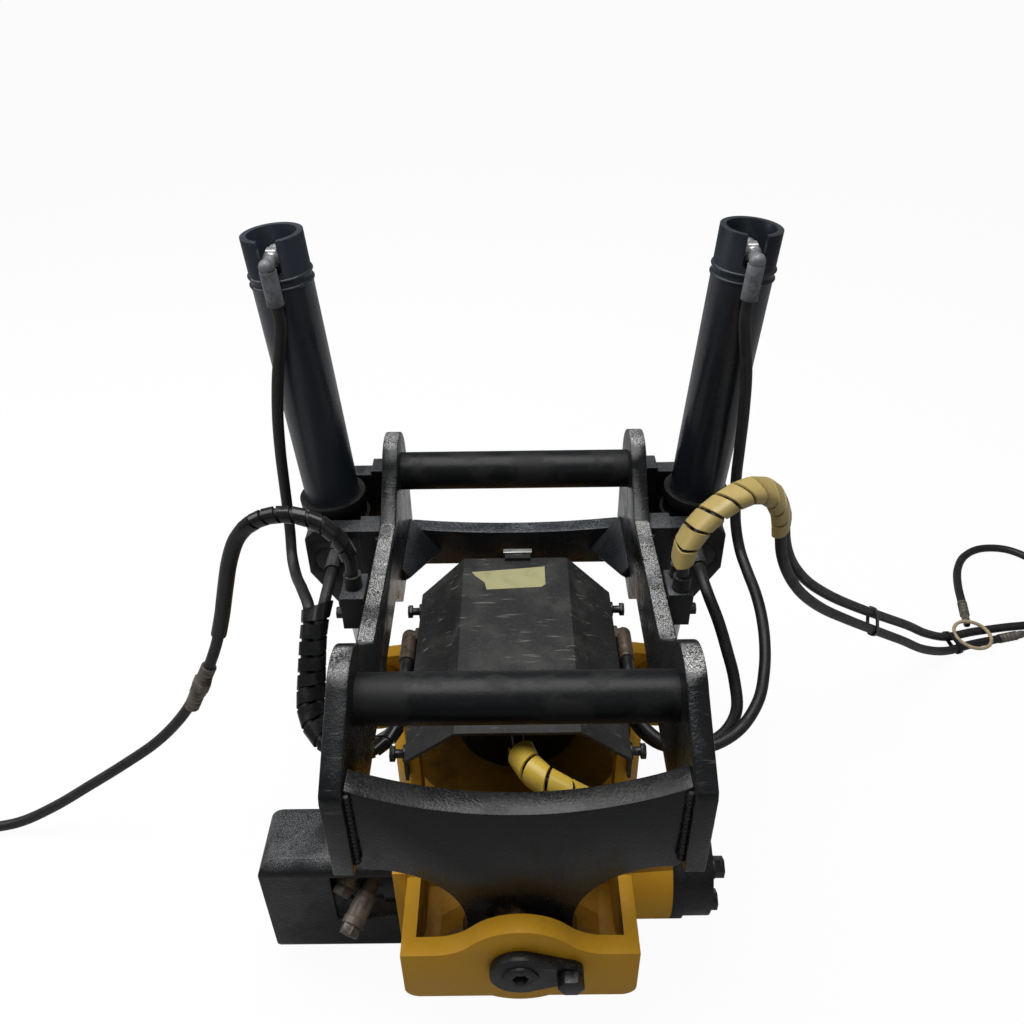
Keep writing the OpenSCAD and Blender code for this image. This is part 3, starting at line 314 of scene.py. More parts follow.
def top_wear_group():
    """Speckled wear on faces that look upwards."""
    inputs = [("Scale", 160.0), ("Amount", 0.6), ("Low", 0.35), ("High", 0.9)]
    tree, given, result = socket_group("top_wear", inputs, "Mask")
    place = add(tree, "ShaderNodeTexCoord")
    split = add(tree, "ShaderNodeSeparateXYZ", [(place.outputs["Normal"], 0)])
    facing = ramp_range(tree, split.outputs["Z"], given.outputs["Low"], given.outputs["High"])
    fine = noise(tree, place.outputs["Object"], Scale=given.outputs["Scale"], Detail=5.0)
    broad = noise(tree, place.outputs["Object"], Scale=24.0)
    speckle = ramp_range(tree, fine, 0.4, 0.66)
    cloud = ramp_range(tree, broad, 0.3, 0.62, 0.25, 1.0)
    wear = times(tree, times(tree, times(tree, facing, speckle), cloud), given.outputs["Amount"])
    tree.links.new(wear, result.inputs["Mask"])
    return tree


def scratch_group():
    """Long thin scuffs."""
    tree, given, result = socket_group("scratches", [("Scale", 30.0), ("Amount", 0.5)], "Mask")
    place = add(tree, "ShaderNodeTexCoord")
    stretch = add(tree, "ShaderNodeMapping", [(place.outputs["Object"], "Vector")])
    stretch.inputs["Rotation"].default_value = (0.3, 0.2, 0.5)
    stretch.inputs["Scale"].default_value = (1.0, 9.0, 4.0)
    streak = noise(tree, stretch.outputs[0], Scale=given.outputs["Scale"], Detail=4.0)
    line = ramp_range(tree, streak, 0.62, 0.72)
    tree.links.new(times(tree, line, given.outputs["Amount"]), result.inputs["Mask"])
    return tree


def grain_group():
    """Fine surface grain for bump."""
    tree, given, result = socket_group("grain", [("Scale", 400.0)], "Height")
    place = add(tree, "ShaderNodeTexCoord").outputs["Object"]
    fine = noise(tree, place, Scale=given.outputs["Scale"], Detail=3.0)
    broad = noise(tree, place, Scale=60.0)
    both = add(tree, "ShaderNodeMath", [(fine, 0), (broad, 1)], operation="ADD")
    tree.links.new(both.outputs[0], result.inputs["Height"])
    return tree


# Shader groups and materials by name, filled by the finishes operator
GROUPS = {}
FINISHES = {}


def use_group(tree, name, **values):
    """Puts a shader group into a material and returns its output."""
    node = tree.nodes.new("ShaderNodeGroup")
    node.node_tree = GROUPS[name]
    for key, value in values.items():
        node.inputs[key].default_value = value
    return node.outputs[0]


def mix_colour(tree, mask, first, second):
    """Mixes two colours, given as socket or value, by a mask."""
    node = add(tree, "ShaderNodeMix", [(mask, 0)], data_type="RGBA")
    for index, colour in ((6, first), (7, second)):
        give(tree, node.inputs[index], colour if hasattr(colour, "is_output") else (*colour, 1.0))
    return node.outputs[2]


def finish(name, base, shade, rough, metallic=0.0, patch=(12.0, 0.42, 0.7), worn=None, top=0.0, scuff=0.0,
           scuff_scale=30.0, grain=400.0, bump=0.12, depth=0.0006, shine=0.4, top_scale=160.0,
           facing=(0.35, 0.9)):
    """A painted, rubber or metal finish: two tones in patches, wear on top faces, scuffs and a fine grain."""
    material = bpy.data.materials.new(name)
    material.use_nodes = True
    tree = material.node_tree
    shader = tree.nodes["Principled BSDF"]
    mask = use_group(tree, "patches", Scale=patch[0], Low=patch[1], High=patch[2])
    colour = mix_colour(tree, mask, base, shade)
    rub = ramp_range(tree, mask, 0.0, 1.0, rough[0], rough[1])
    if worn and top:
        wear = use_group(tree, "top_wear", Scale=top_scale, Amount=top, Low=facing[0], High=facing[1])
        colour = mix_colour(tree, wear, colour, worn)
    if worn and scuff:
        lines = use_group(tree, "scratches", Scale=scuff_scale, Amount=scuff)
        colour = mix_colour(tree, lines, colour, worn)
    tree.links.new(colour, shader.inputs["Base Color"])
    tree.links.new(rub, shader.inputs["Roughness"])
    shader.inputs["Metallic"].default_value = metallic
    shader.inputs["Specular IOR Level"].default_value = shine
    relief = add(tree, "ShaderNodeBump", [(use_group(tree, "grain", Scale=grain), "Height")])
    relief.inputs["Strength"].default_value = bump
    relief.inputs["Distance"].default_value = depth
    tree.links.new(relief.outputs[0], shader.inputs["Normal"])
    FINISHES[name] = material


# Shapes


def put(name, mesh, material, body=None):
    """Links a new object for a mesh, gives it a material and lets it ride."""
    piece = bpy.data.objects.new(name, mesh)
    bpy.context.scene.collection.objects.link(piece)
    mesh.materials.clear()
    mesh.materials.append(FINISHES[material])
    if body:
        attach(piece, body)
    return piece


def to_mesh(bm, name, angle=35.0):
    """Closes a bmesh into a smooth-shaded mesh whose sharp edges stay sharp."""
    bmesh.ops.remove_doubles(bm, verts=bm.verts, dist=1e-6)
    bmesh.ops.recalc_face_normals(bm, faces=bm.faces)
    mesh = bpy.data.meshes.new(name)
    bm.to_mesh(mesh)
    bm.free()
    mesh.shade_smooth()
    mesh.set_sharp_from_angle(angle=math.radians(angle))
    return mesh


def dressed(node, material, edge):
    """A copy of a solid with rounded edges, which stands for it."""
    sharp_angle = math.radians(32.0)
    bm = bmesh.new()
    bm.from_mesh(NODES[node].data)
    bmesh.ops.remove_doubles(bm, verts=bm.verts, dist=2e-6)
    bmesh.ops.dissolve_limit(bm, angle_limit=math.radians(1.0), verts=bm.verts, edges=bm.edges,
                             use_dissolve_boundaries=False, delimit=set())
    if edge > 0:
        sharp = [e for e in bm.edges if len(e.link_faces) == 2 and e.calc_face_angle(0) > sharp_angle]
        bmesh.ops.bevel(bm, geom=sharp, offset=edge, offset_type="OFFSET", segments=2, profile=0.5,
                        affect="EDGES", clamp_overlap=True, material=-1)
    mesh = bpy.data.meshes.new(node + "_look")
    bm.to_mesh(mesh)
    bm.free()
    mesh.shade_smooth()
    mesh.set_sharp_from_angle(angle=sharp_angle)
    piece = put(node + "_look", mesh, material, NODES[node]["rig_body"])
    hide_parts(node)
    return piece


def press_fold(bm, side, lines, depth):
    """Presses a valley between two ridges into one slope of the cover; lines as in COVER_FOLDS."""
    rear, front, end = FOLD_REAR, FOLD_DEEPEST, FOLD_END
    cuts = [((side * x0, rear, 0), (x1 - x0, front - rear)) for x0, x1 in lines]
    planes = [(co, Vector((-run[1], side * run[0], 0))) for co, run in cuts]
    planes += [((0, y, 0), Vector((0, 1, 0))) for y in (rear, front, end)]
    for co, normal in planes:
        middles = [(f, f.calc_center_median()) for f in bm.faces]
        near = [f for f, middle in middles if side * middle.x > SLOPE_FACE_X and middle.z > FOLD_LOW]
        parts = {*near, *(e for f in near for e in f.edges), *(v for f in near for v in f.verts)}
        bmesh.ops.bisect_plane(bm, geom=list(parts), plane_co=co, plane_no=normal.normalized(), dist=1e-6)
    for v in bm.verts:
        across = side * v.co.x
        if across < SLOPE_VERT_X or v.co.z < FOLD_LOW or not end < v.co.y < rear:
            continue
        along = (rear - v.co.y) / (rear - front)
        ridge, valley, foot = (x0 + (x1 - x0) * along for x0, x1 in lines)
        share = min((across - ridge) / (valley - ridge), (foot - across) / (foot - valley))
        fade = min(along, 1.0) if v.co.y > front else (v.co.y - end) / (front - end)
        v.co.z -= depth * fade * max(share, 0.0)


def dent(piece):
    """Folds the cover's slopes: a step beside the crown on the left, a long dent on the right."""
    bm = bmesh.new()
    bm.from_mesh(piece.data)
    for side, lines, depth in COVER_FOLDS:
        press_fold(bm, side, lines, depth)
    bm.to_mesh(piece.data)
    bm.free()
    piece.data.set_sharp_from_angle(angle=math.radians(FOLD_SHARP_DEGREES))


def paint_node(node, material):
    """Gives a solid that stays as it is its finish."""
    mesh = NODES[node].data
    mesh.materials.clear()
    mesh.materials.append(FINISHES[material])
    for face in mesh.polygons:
        face.material_index = 0


def smooth_route(points, steps=ROUTE_STEPS):
    """The points of one smooth curve through a route, in metres."""
    pts = [Vector(p) * MM for p in points]
    ends = [2 * pts[0] - pts[1], *pts, 2 * pts[-1] - pts[-2]]
    line = []
    for a, b, c, d in zip(ends, ends[1:], ends[2:], ends[3:]):
        ta = math.sqrt((b - a).length)
        tb = ta + math.sqrt((c - b).length)
        tc = tb + math.sqrt((d - c).length)
        for k in range(steps):
            t = ta + (tb - ta) * k / steps
            ab = a.lerp(b, t / ta)
            bc = b.lerp(c, (t - ta) / (tb - ta))
            cd = c.lerp(d, (t - tb) / (tc - tb))
            abc = ab.lerp(bc, t / tb)
            bcd = bc.lerp(cd, (t - ta) / (tc - ta))
            line.append(abc.lerp(bcd, (t - ta) / (tb - ta)))
    line.append(pts[-1])
    return line


def measure(line):
    """Arc length along a line, point by point."""
    sums = [0.0]
    for a, b in zip(line, line[1:]):
        sums.append(sums[-1] + (b - a).length)
    return sums


def frames_along(line):
    """Tangent, normal and binormal carried along a line without twist."""
    last = len(line) - 1
    tangents = [(line[min(i + 1, last)] - line[max(i - 1, 0)]).normalized() for i in range(last + 1)]
    side = tangents[0].orthogonal().normalized()
    result = []
    for t in tangents:
        side = (side - side.dot(t) * t).normalized()
        result.append((t, side, t.cross(side)))
    return result


def curve_mesh(name, line, radius, sides, radii=None):
    """A closed round tube along a line, made from a bevelled curve."""
    curve = bpy.data.curves.new(name, "CURVE")
    curve.dimensions = "3D"
    curve.bevel_depth = radius
    curve.bevel_resolution = max(1, sides // 4 - 1)
    curve.use_fill_caps = True
    spline = curve.splines.new("POLY")
    spline.points.add(len(line) - 1)
    for i, (point, p) in enumerate(zip(spline.points, line)):
        point.co = (*p, 1.0)
        point.radius = radii[i] if radii else 1.0
    holder = bpy.data.objects.new(name + "_line", curve)
    bpy.context.scene.collection.objects.link(holder)
    graph = bpy.context.evaluated_depsgraph_get()
    mesh = bpy.data.meshes.new_from_object(holder.evaluated_get(graph))
    bpy.data.objects.remove(holder)
    bpy.data.curves.remove(curve)
    bm = bmesh.new()
    bm.from_mesh(mesh)
    bpy.data.meshes.remove(mesh)
    return to_mesh(bm, name, 40.0)


def wrap_mesh(name, lines, radius, wall, pitch, gap, start, stop):
    """A spiral band round one or two hoses, spun straight and then laid along them."""
    line = [sum(points, Vector()) / len(lines) for points in zip(*lines)]
    apart = [points[-1] - points[0] for points in zip(*lines)]
    sums = measure(line)
    turns = (stop - start) / pitch
    steps = max(8, int(turns * TURN_STEPS))
    bm = bmesh.new()
    outer = radius + wall
    corners = [(radius, 0, 0), (outer, 0, BAND_CHAMFER), (outer, 0, pitch - gap - BAND_CHAMFER),
               (radius, 0, pitch - gap)]
    face = bm.faces.new([bm.verts.new(c) for c in corners])
    bmesh.ops.spin(bm, geom=[face, *face.edges, *face.verts], cent=(0, 0, 0), axis=(0, 0, 1),
                   dvec=(0, 0, (stop - start) / steps), angle=math.tau * turns, steps=steps,
                   use_duplicate=False)
    axes = frames_along(line)
    for v in bm.verts:
        at = min(max(start + v.co.z, 0.0), sums[-1] - 1e-6)
        i = next(k for k in range(len(sums) - 1) if sums[k + 1] > at)
        share = (at - sums[i]) / (sums[i + 1] - sums[i])
        tangent = axes[i][0].lerp(axes[i + 1][0], share).normalized()
        wide = apart[i].lerp(apart[i + 1], share)
        side = wide if len(lines) == 2 else axes[i][1].lerp(axes[i + 1][1], share)
        side = (side - side.dot(tangent) * tangent).normalized()
        reach = math.hypot(v.co.x, v.co.y)
        spread = wide.length / 2 * max(-1.0, min(1.0, 2 * v.co.x / reach))
        v.co = line[i].lerp(line[i + 1], share) + (v.co.x + spread) * side + v.co.y * tangent.cross(side)
    return to_mesh(bm, name, 50.0)


def even(line, count=120):
    """The same line as evenly spaced points."""
    return [point_at(line, k / count) for k in range(count + 1)]


def beside(line, other):
    """The points of another line that lie nearest to each point of a line."""
    return [min(other, key=lambda q: (q - p).length_squared) for p in line]


def point_at(line, share):
    """The point at a share of a line's length."""
    sums = measure(line)
    at = share * sums[-1]
    for i in range(len(line) - 1):
        if sums[i + 1] >= at:
            return line[i].lerp(line[i + 1], (at - sums[i]) / max(sums[i + 1] - sums[i], 1e-9))
    return line[-1]


def follow(piece, bodies, start, end, slot):
    """Bakes a piece that spans two bodies into world space, or lets it ride on one."""
    if len(bodies) == 2:
        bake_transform(piece)
    else:
        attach(piece, bodies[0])


def hose(name, route, first, last, bodies, start, end, leaves, far_end, node, with_pieces=()):
    """One hose along part of a route, baked into world space when it spans two bodies, or riding on one."""
    sizes = bpy.context.scene.rotator_sizes
    line = smooth_route(route)[first * ROUTE_STEPS:last * ROUTE_STEPS + 1]
    piece = put(name, curve_mesh(name, line, sizes.hose / 2, sizes.hose_sides), "hose_rubber")
    follow(piece, bodies, start, end, "hose_rubber")
    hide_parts(node)


def turned(profile, place, axis, steps=28):
    """A turned part: (radius, height) in millimetres, spun round an axis from a place."""
    bm = bmesh.new()
    verts = [bm.verts.new((r * MM, 0, z * MM)) for r, z in profile]
    edges = [bm.edges.new(pair) for pair in zip(verts, verts[1:])]
    bmesh.ops.spin(bm, geom=verts + edges, cent=(0, 0, 0), axis=(0, 0, 1), angle=math.tau, steps=steps,
                   use_merge=True, use_duplicate=False)
    turn = Vector(axis).to_track_quat("Z", "Y").to_matrix().to_4x4()
    bmesh.ops.transform(bm, matrix=Matrix.Translation(Vector(place) * MM) @ turn, verts=bm.verts)
    return bm


def gather(name, parts):
    """Several bmeshes as one mesh."""
    whole = bmesh.new()
    for part in parts:
        mesh = bpy.data.meshes.new(name)
        part.to_mesh(mesh)
        part.free()
        whole.from_mesh(mesh)
        bpy.data.meshes.remove(mesh)
    return to_mesh(whole, name)


def crimp(length, radius, ridges=4):
    """The profile of a crimped ferrule, from its hose end, without its closing points."""
    pitch = length / (ridges * 2 + 1)
    profile = [(radius - 0.8, 0), (radius, 0.8)]
    for k in range(ridges):
        z = (2 * k + 1) * pitch
        profile += [(radius, z), (radius - 0.9, z + pitch * 0.35), (radius - 0.9, z + pitch * 0.65),
                    (radius, z + pitch)]
    return profile + [(radius, length - 0.8), (radius - 0.8, length)]


def end_fitting(name, route):
    """The crimped fitting on the free end of a feed hose."""
    place, before = Vector(route[-1]), Vector(route[-2])
    axis = (place - before).normalized()
    parts = [turned([(0, 0), *crimp(34, 7.9), (0, 34)], place, axis),
             turned([(0, 33), (6.2, 33), (6.9, 34), (6.9, 45), (6.2, 46), (0, 46)], place, axis, 6),
             turned([(0, 45), (5.4, 45), (5.4, 58.6), (4.0, 60), (3.0, 60), (3.0, 50), (0, 50)], place, axis)]
    return put(name, gather(name, parts), "coupling_grey", "housing")


def weld(name, path, body, radius):
    """A weld bead with its ripples along a path in millimetres."""
    line = []
    for a, b in zip(path, path[1:]):
        a, b = Vector(a) * MM, Vector(b) * MM
        steps = max(2, int((b - a).length / WELD_STEP))
        line += [a.lerp(b, k / steps) for k in range(steps)]
    line.append(Vector(path[-1]) * MM)
    radii = [1 + 0.16 * math.sin(k * 1.35) + 0.06 * math.sin(k * 0.37 + 1) for k in range(len(line))]
    radii[0] = radii[-1] = 0.6
    put(name, curve_mesh(name, line, radius, 12, radii), "plate_black", body)


def slab(outline, low, rise):
    """A flat outline at a height, raised by a thickness."""
    bm = bmesh.new()
    face = bm.faces.new([bm.verts.new((x, y, low)) for x, y in outline])
    top = bmesh.ops.extrude_face_region(bm, geom=[face])
    moved = [v for v in top["geom"] if isinstance(v, bmesh.types.BMVert)]
    bmesh.ops.translate(bm, verts=moved, vec=(0, 0, rise))
    return bm


# Operators


class ROTATOR_OT_finishes(Operator):
    """Make the shader groups and every finish"""

    bl_idname = "rotator.finishes"
    bl_label = "Finishes"

    def execute(self, context):
        c = context.scene.rotator_colours
        GROUPS.update(patches=patch_group(), top_wear=top_wear_group(), scratches=scratch_group(),
                      grain=grain_group())
        black, worn, rust = tuple(c.black), tuple(c.worn), tuple(c.rust)
        finish("plate_black", black, (0.009, 0.0092, 0.0095), (0.26, 0.42), patch=(18, 0.4, 0.66),
               worn=(0.06, 0.056, 0.048), top=0.4, top_scale=420.0, scuff=0.1, scuff_scale=45.0,
               bump=0.4, depth=0.0009, shine=0.28)
        finish("plate_worn", black, (0.009, 0.0095, 0.0105), (0.2, 0.36), patch=(18, 0.4, 0.66),
               worn=worn, top=1.0, top_scale=820.0, scuff=0.06, scuff_scale=45.0, bump=0.4, depth=0.0009,
               shine=0.35, facing=(0.88, 0.975))
        finish("axle_black", black, (0.013, 0.0132, 0.0135), (0.36, 0.54), patch=(16, 0.47, 0.56),
               worn=(0.04, 0.04, 0.04), top=0.2, top_scale=600.0, scuff=0.1, scuff_scale=30.0, bump=0.2,
               depth=0.0007, shine=0.2)
        # A lighter, bluish copy of the black paint: painted light on the rear plates, whose front faces lie
        # in shade
        finish("rear_black_painted_light", (0.016, 0.0185, 0.022), (0.024, 0.027, 0.031), (0.26, 0.42),
               patch=(18, 0.4, 0.66), worn=(0.2, 0.21, 0.23), top=0.8, top_scale=420.0, scuff=0.1,
               scuff_scale=45.0, bump=0.4, depth=0.0009)
        # The left barrel gets a brighter and the right a darker copy of one paint: painted light from the
        # left side, painted shade on the right
        for side, painted_light_tone in (("left", 1.15), ("right", 0.7)):
            base = [painted_light_tone * part for part in c.barrel]
            finish("barrel_" + side, base, [1.3 * part for part in base], (0.24, 0.36),
                   patch=(9, 0.4, 0.7), bump=0.08, worn=(0.08, 0.09, 0.105), top=0.3, scuff=0.05)
        finish("cover_black", (0.019, 0.0188, 0.0185), (0.043, 0.042, 0.04), (0.42, 0.62),
               patch=(15, 0.44, 0.7), worn=(0.17, 0.165, 0.155), top=0.06, top_scale=300.0, scuff=0.7,
               scuff_scale=26.0, bump=0.35, depth=0.0012, shine=0.25)
        finish("guard_black", (0.0065, 0.0068, 0.0072), (0.01, 0.0105, 0.012), (0.3, 0.46),
               patch=(26, 0.42, 0.68), worn=(0.17, 0.175, 0.185), top=0.85, top_scale=1100.0, scuff=0.05,
               bump=0.4, depth=0.001, shine=0.24)
        finish("housing_yellow", tuple(c.yellow), tuple(c.yellow_dirt), (0.4, 0.58),
               patch=(11, 0.54, 0.84), worn=(0.66, 0.37, 0.04), top=0.25, scuff=0.16, scuff_scale=16.0,
               bump=0.14, shine=0.13)
        # A darker brown-yellow that paints the shade inside the housing's front pockets, under its hood and
        # on the pocket webs
        finish("housing_painted_shade", (0.26, 0.125, 0.012), (0.12, 0.06, 0.012), (0.5, 0.66),
               patch=(16, 0.4, 0.7), bump=0.2, shine=0.1)
        finish("hose_rubber", tuple(c.rubber), (0.022, 0.021, 0.02), (0.42, 0.62), patch=(60, 0.45, 0.7),
               grain=900.0, bump=0.15, depth=0.0003)
        finish("wrap_pale", tuple(c.wrap), (0.33, 0.22, 0.07), (0.34, 0.52), patch=(36, 0.5, 0.8),
               bump=0.1)
        finish("wrap_yellow", (0.66, 0.45, 0.06), (0.5, 0.32, 0.045), (0.34, 0.52), patch=(36, 0.5, 0.8),
               bump=0.1)
        finish("wrap_black", (0.008, 0.008, 0.0085), (0.018, 0.018, 0.018), (0.2, 0.4),
               patch=(40, 0.45, 0.75), bump=0.06)
        finish("ferrule_grey", (0.2, 0.205, 0.22), (0.1, 0.1, 0.105), (0.4, 0.6), metallic=0.3,
               patch=(80, 0.42, 0.68), bump=0.25)
        finish("ferrule_rust", rust, (0.05, 0.038, 0.03), (0.42, 0.65), metallic=0.3,
               patch=(90, 0.4, 0.66), bump=0.3)
        finish("coupling_grey", (0.15, 0.13, 0.105), (0.06, 0.05, 0.042), (0.42, 0.64), metallic=0.3,
               patch=(70, 0.42, 0.68), bump=0.25)
        finish("bolt_black", (0.01, 0.01, 0.0105), (0.03, 0.029, 0.027), (0.3, 0.5), metallic=0.3,
               patch=(90, 0.45, 0.72), worn=(0.14, 0.14, 0.14), top=0.35, bump=0.2)
        finish("nut_bright", (0.62, 0.62, 0.6), (0.45, 0.45, 0.43), (0.25, 0.45), metallic=0.8,
               patch=(80, 0.4, 0.7), bump=0.1)
        finish("bare_steel", (0.42, 0.42, 0.43), (0.3, 0.3, 0.31), (0.22, 0.4), metallic=1.0,
               patch=(40, 0.4, 0.7), bump=0.1)
        finish("bronze", (0.46, 0.3, 0.12), (0.3, 0.19, 0.08), (0.26, 0.44), metallic=1.0,
               patch=(40, 0.4, 0.7), bump=0.1)
        finish("rod_chrome", (0.62, 0.63, 0.65), (0.5, 0.51, 0.53), (0.06, 0.14), metallic=1.0,
               patch=(20, 0.4, 0.7), bump=0.02)
        finish("paper_tape", tuple(c.tape), (0.3, 0.28, 0.13), (0.5, 0.66), patch=(50, 0.45, 0.7),
               bump=0.15)
        finish("tie_beige", (0.42, 0.33, 0.2), (0.3, 0.22, 0.13), (0.45, 0.65), patch=(60, 0.45, 0.7),
               bump=0.2)
        return {"FINISHED"}


class ROTATOR_OT_hoses(Operator):
    """Lay every hose along its route"""

    bl_idname = "rotator.hoses"
    bl_label = "Hoses"

    def execute(self, context):
        last = len(TOP_RIGHT) - 1
        for side, top, rod in (("right", TOP_RIGHT, ROD_RIGHT), ("left", TOP_LEFT, ROD_LEFT)):
            hose("hose_top_%s_tube" % side, top, 0, TOP_SPLIT, ("barrel_" + side, "upper_frame"),
                 TOP_BEND_START[side], Vector(top[TOP_SPLIT]) * MM, "hanging", "object", "hose_top_" + side)
            hose("hose_loop_%s_tube" % side, top, TOP_SPLIT, last, FRAME_TO_HOUSING,
                 *LOOP_BEND[side], "hanging", "object", "hose_loop_" + side)
            hose("hose_rod_%s_tube" % side, rod, 0, len(rod) - 1, FRAME_TO_HOUSING,
                 *ROD_BEND[side], "hanging", "object", "hose_rod_" + side)
        for name, route, ends, node in (("left", FEED_LEFT, FEED_LEFT_BEND, "feed_hose_left"),
                                        ("right", FEED_RIGHT, FEED_RIGHT_BEND, "feed_hose_right"),
                                        ("loop", FEED_LOOP, FEED_RIGHT_BEND, "feed_hose_loop")):
            fitting = end_fitting("feed_%s_fitting" % name, route)
            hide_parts("feed_couplings")
            hose("feed_%s_tube" % name, route, 0, len(route) - 1, FRAME_TO_HOUSING, *ends, "loose",
                 "fitting", node, [fitting])
        hose("swivel_tube", SWIVEL, 0, len(SWIVEL) - 1, ("housing",), None, None, "loose", "object",
             "swivel_hose")
        self.inline_coupling()
        return {"FINISHED"}

    def inline_coupling(self):
        """The coupling half-way down the left feed hose"""
        place, axis = Vector(INLINE_PLACE), Vector(INLINE_AXIS)
        low = place + axis * INLINE_UPPER
        parts = [turned([(0, 0), *crimp(26, 9.6, 3), (0, 26)], place, axis),
                 turned([(0, 25), (11.4, 25), (12.4, 26), (12.4, 39), (11.4, 40), (0, 40)], place, axis, 6),
                 turned([(0, 0), (10.6, 0), (10.6, 8), (9, 9), (0, 9)], low, axis),
                 turned([(0, 8), *[(r, z + 8) for r, z in crimp(28, 9.6, 3)], (0, 36)], low, axis)]
        piece = put("feed_left_coupling", gather("feed_left_coupling", parts), "coupling_grey")
        follow(piece, FRAME_TO_HOUSING, *FEED_LEFT_BEND, "dull_plating")


class ROTATOR_OT_wraps(Operator):
    """Wind the spiral wrap on the hoses"""

    bl_idname = "rotator.wraps"
    bl_label = "Spiral wrap"

    def execute(self, context):
        s = context.scene.rotator_sizes
        r = s.hose / 2
        right = even(smooth_route(FEED_RIGHT))
        right_pair = [right, beside(right, smooth_route(FEED_LOOP, FINE_STEPS))]
        inner = even(smooth_route(ROD_LEFT))
        left_pair = [inner, beside(inner, smooth_route(TOP_LEFT, FINE_STEPS))]
        left_feed = [even(smooth_route(FEED_LEFT))]
        swivel = [even(smooth_route(SWIVEL))]
        feed_ends = (FRAME_TO_HOUSING, *FEED_RIGHT_BEND)
        left_ends = (FRAME_TO_HOUSING, *FEED_LEFT_BEND)
        loop_ends = (FRAME_TO_HOUSING, *ROD_BEND["left"])
        on_housing = (("housing",), None, None)
        # Name, hoses inside, room round them, start and stop along them, finish, share of the pitch, bodies
        jobs = [
            ("wrap_feed_right", right_pair, 0.0016, 0.006, 0.222, "wrap_pale", 1.0, feed_ends),
            ("wrap_feed_left", left_feed, 0.0004, 0.014, 0.16, "wrap_black", 0.75, left_ends),
            ("wrap_loop_left", left_pair, 0.0004, 0.028, 0.3, "wrap_black", 0.86, loop_ends),
            ("wrap_swivel", swivel, 0.007, 0.026, 0.2, "wrap_yellow", 1.2, on_housing),
            ("tie_band_one", right_pair, 0.0003, 0.6, 0.611, "wrap_black", 0.5, feed_ends),
            ("tie_band_two", right_pair, 0.0003, 0.9, 0.911, "wrap_black", 0.5, feed_ends),
        ]
        for name, lines, room, start, stop, material, share, ends in jobs:
            mesh = wrap_mesh(name, lines, r + room, s.wrap_wall, s.wrap_pitch * share, s.wrap_gap, start,
                             stop)
            follow(put(name, mesh, material), *ends, "hose_rubber")
        self.sleeve(r)
        return {"FINISHED"}

    def sleeve(self, r):
        """The smooth sleeve below the spiral wrap of the left feed hose"""
        route = smooth_route(FEED_LEFT)
        length = measure(route)[-1]
        line = [point_at(route, (SLEEVE_START + SLEEVE_LENGTH * k / SLEEVE_STEPS) / length)
                for k in range(SLEEVE_STEPS + 1)]
        mesh = curve_mesh("sleeve_feed_left", line, r + SLEEVE_WALL, SLEEVE_SIDES)
        piece = put("sleeve_feed_left", mesh, "hose_rubber")
        follow(piece, FRAME_TO_HOUSING, *FEED_LEFT_BEND, "hose_rubber")


class ROTATOR_OT_hitch(Operator):
    """Dress the hitch frame's plates, axles and lugs"""

    bl_idname = "rotator.hitch"
    bl_label = "Hitch frame"

    def execute(self, context):
        edge = context.scene.rotator_sizes.edge
        for material, nodes in (
                ("plate_worn", ("side_plate_left", "side_plate_right")),
                ("guard_black", ("trunnion_lugs_left", "trunnion_lugs_right", "port_blocks")),
                # The rear plates take the lighter copy of the black paint, as painted light
                ("rear_black_painted_light", ("rear_cross_plate", "corner_gussets")),
                ("plate_black", ("front_cross_plate",))):
            for node in nodes:
                dressed(node, material, edge)
        for node in ("front_axle", "rear_axle"):
            dressed(node, "axle_black", 0)
        paint_node("tilt_bushes", "bronze")
        return {"FINISHED"}


class ROTATOR_OT_cylinders(Operator):
    """Dress the tilt cylinders"""

    bl_idname = "rotator.cylinders"
    bl_label = "Tilt cylinders"

    def execute(self, context):
        for side in ("left", "right"):
            # Each barrel takes its own copy of the barrel paint: brighter as painted light on the left,
            # darker as painted shade on the right
            dressed("barrel_" + side, "barrel_" + side, 0.0008)
            dressed("barrel_trunnion_" + side, "plate_black", 0.0012)
            dressed("barrel_cap_" + side, "plate_black", 0)
            dressed("barrel_elbow_" + side, "ferrule_grey", 0.0006)
            paint_node("barrel_gland_" + side, "bare_steel")
            paint_node("rod_" + side, "rod_chrome")
            paint_node("piston_" + side, "bare_steel")
        return {"FINISHED"}


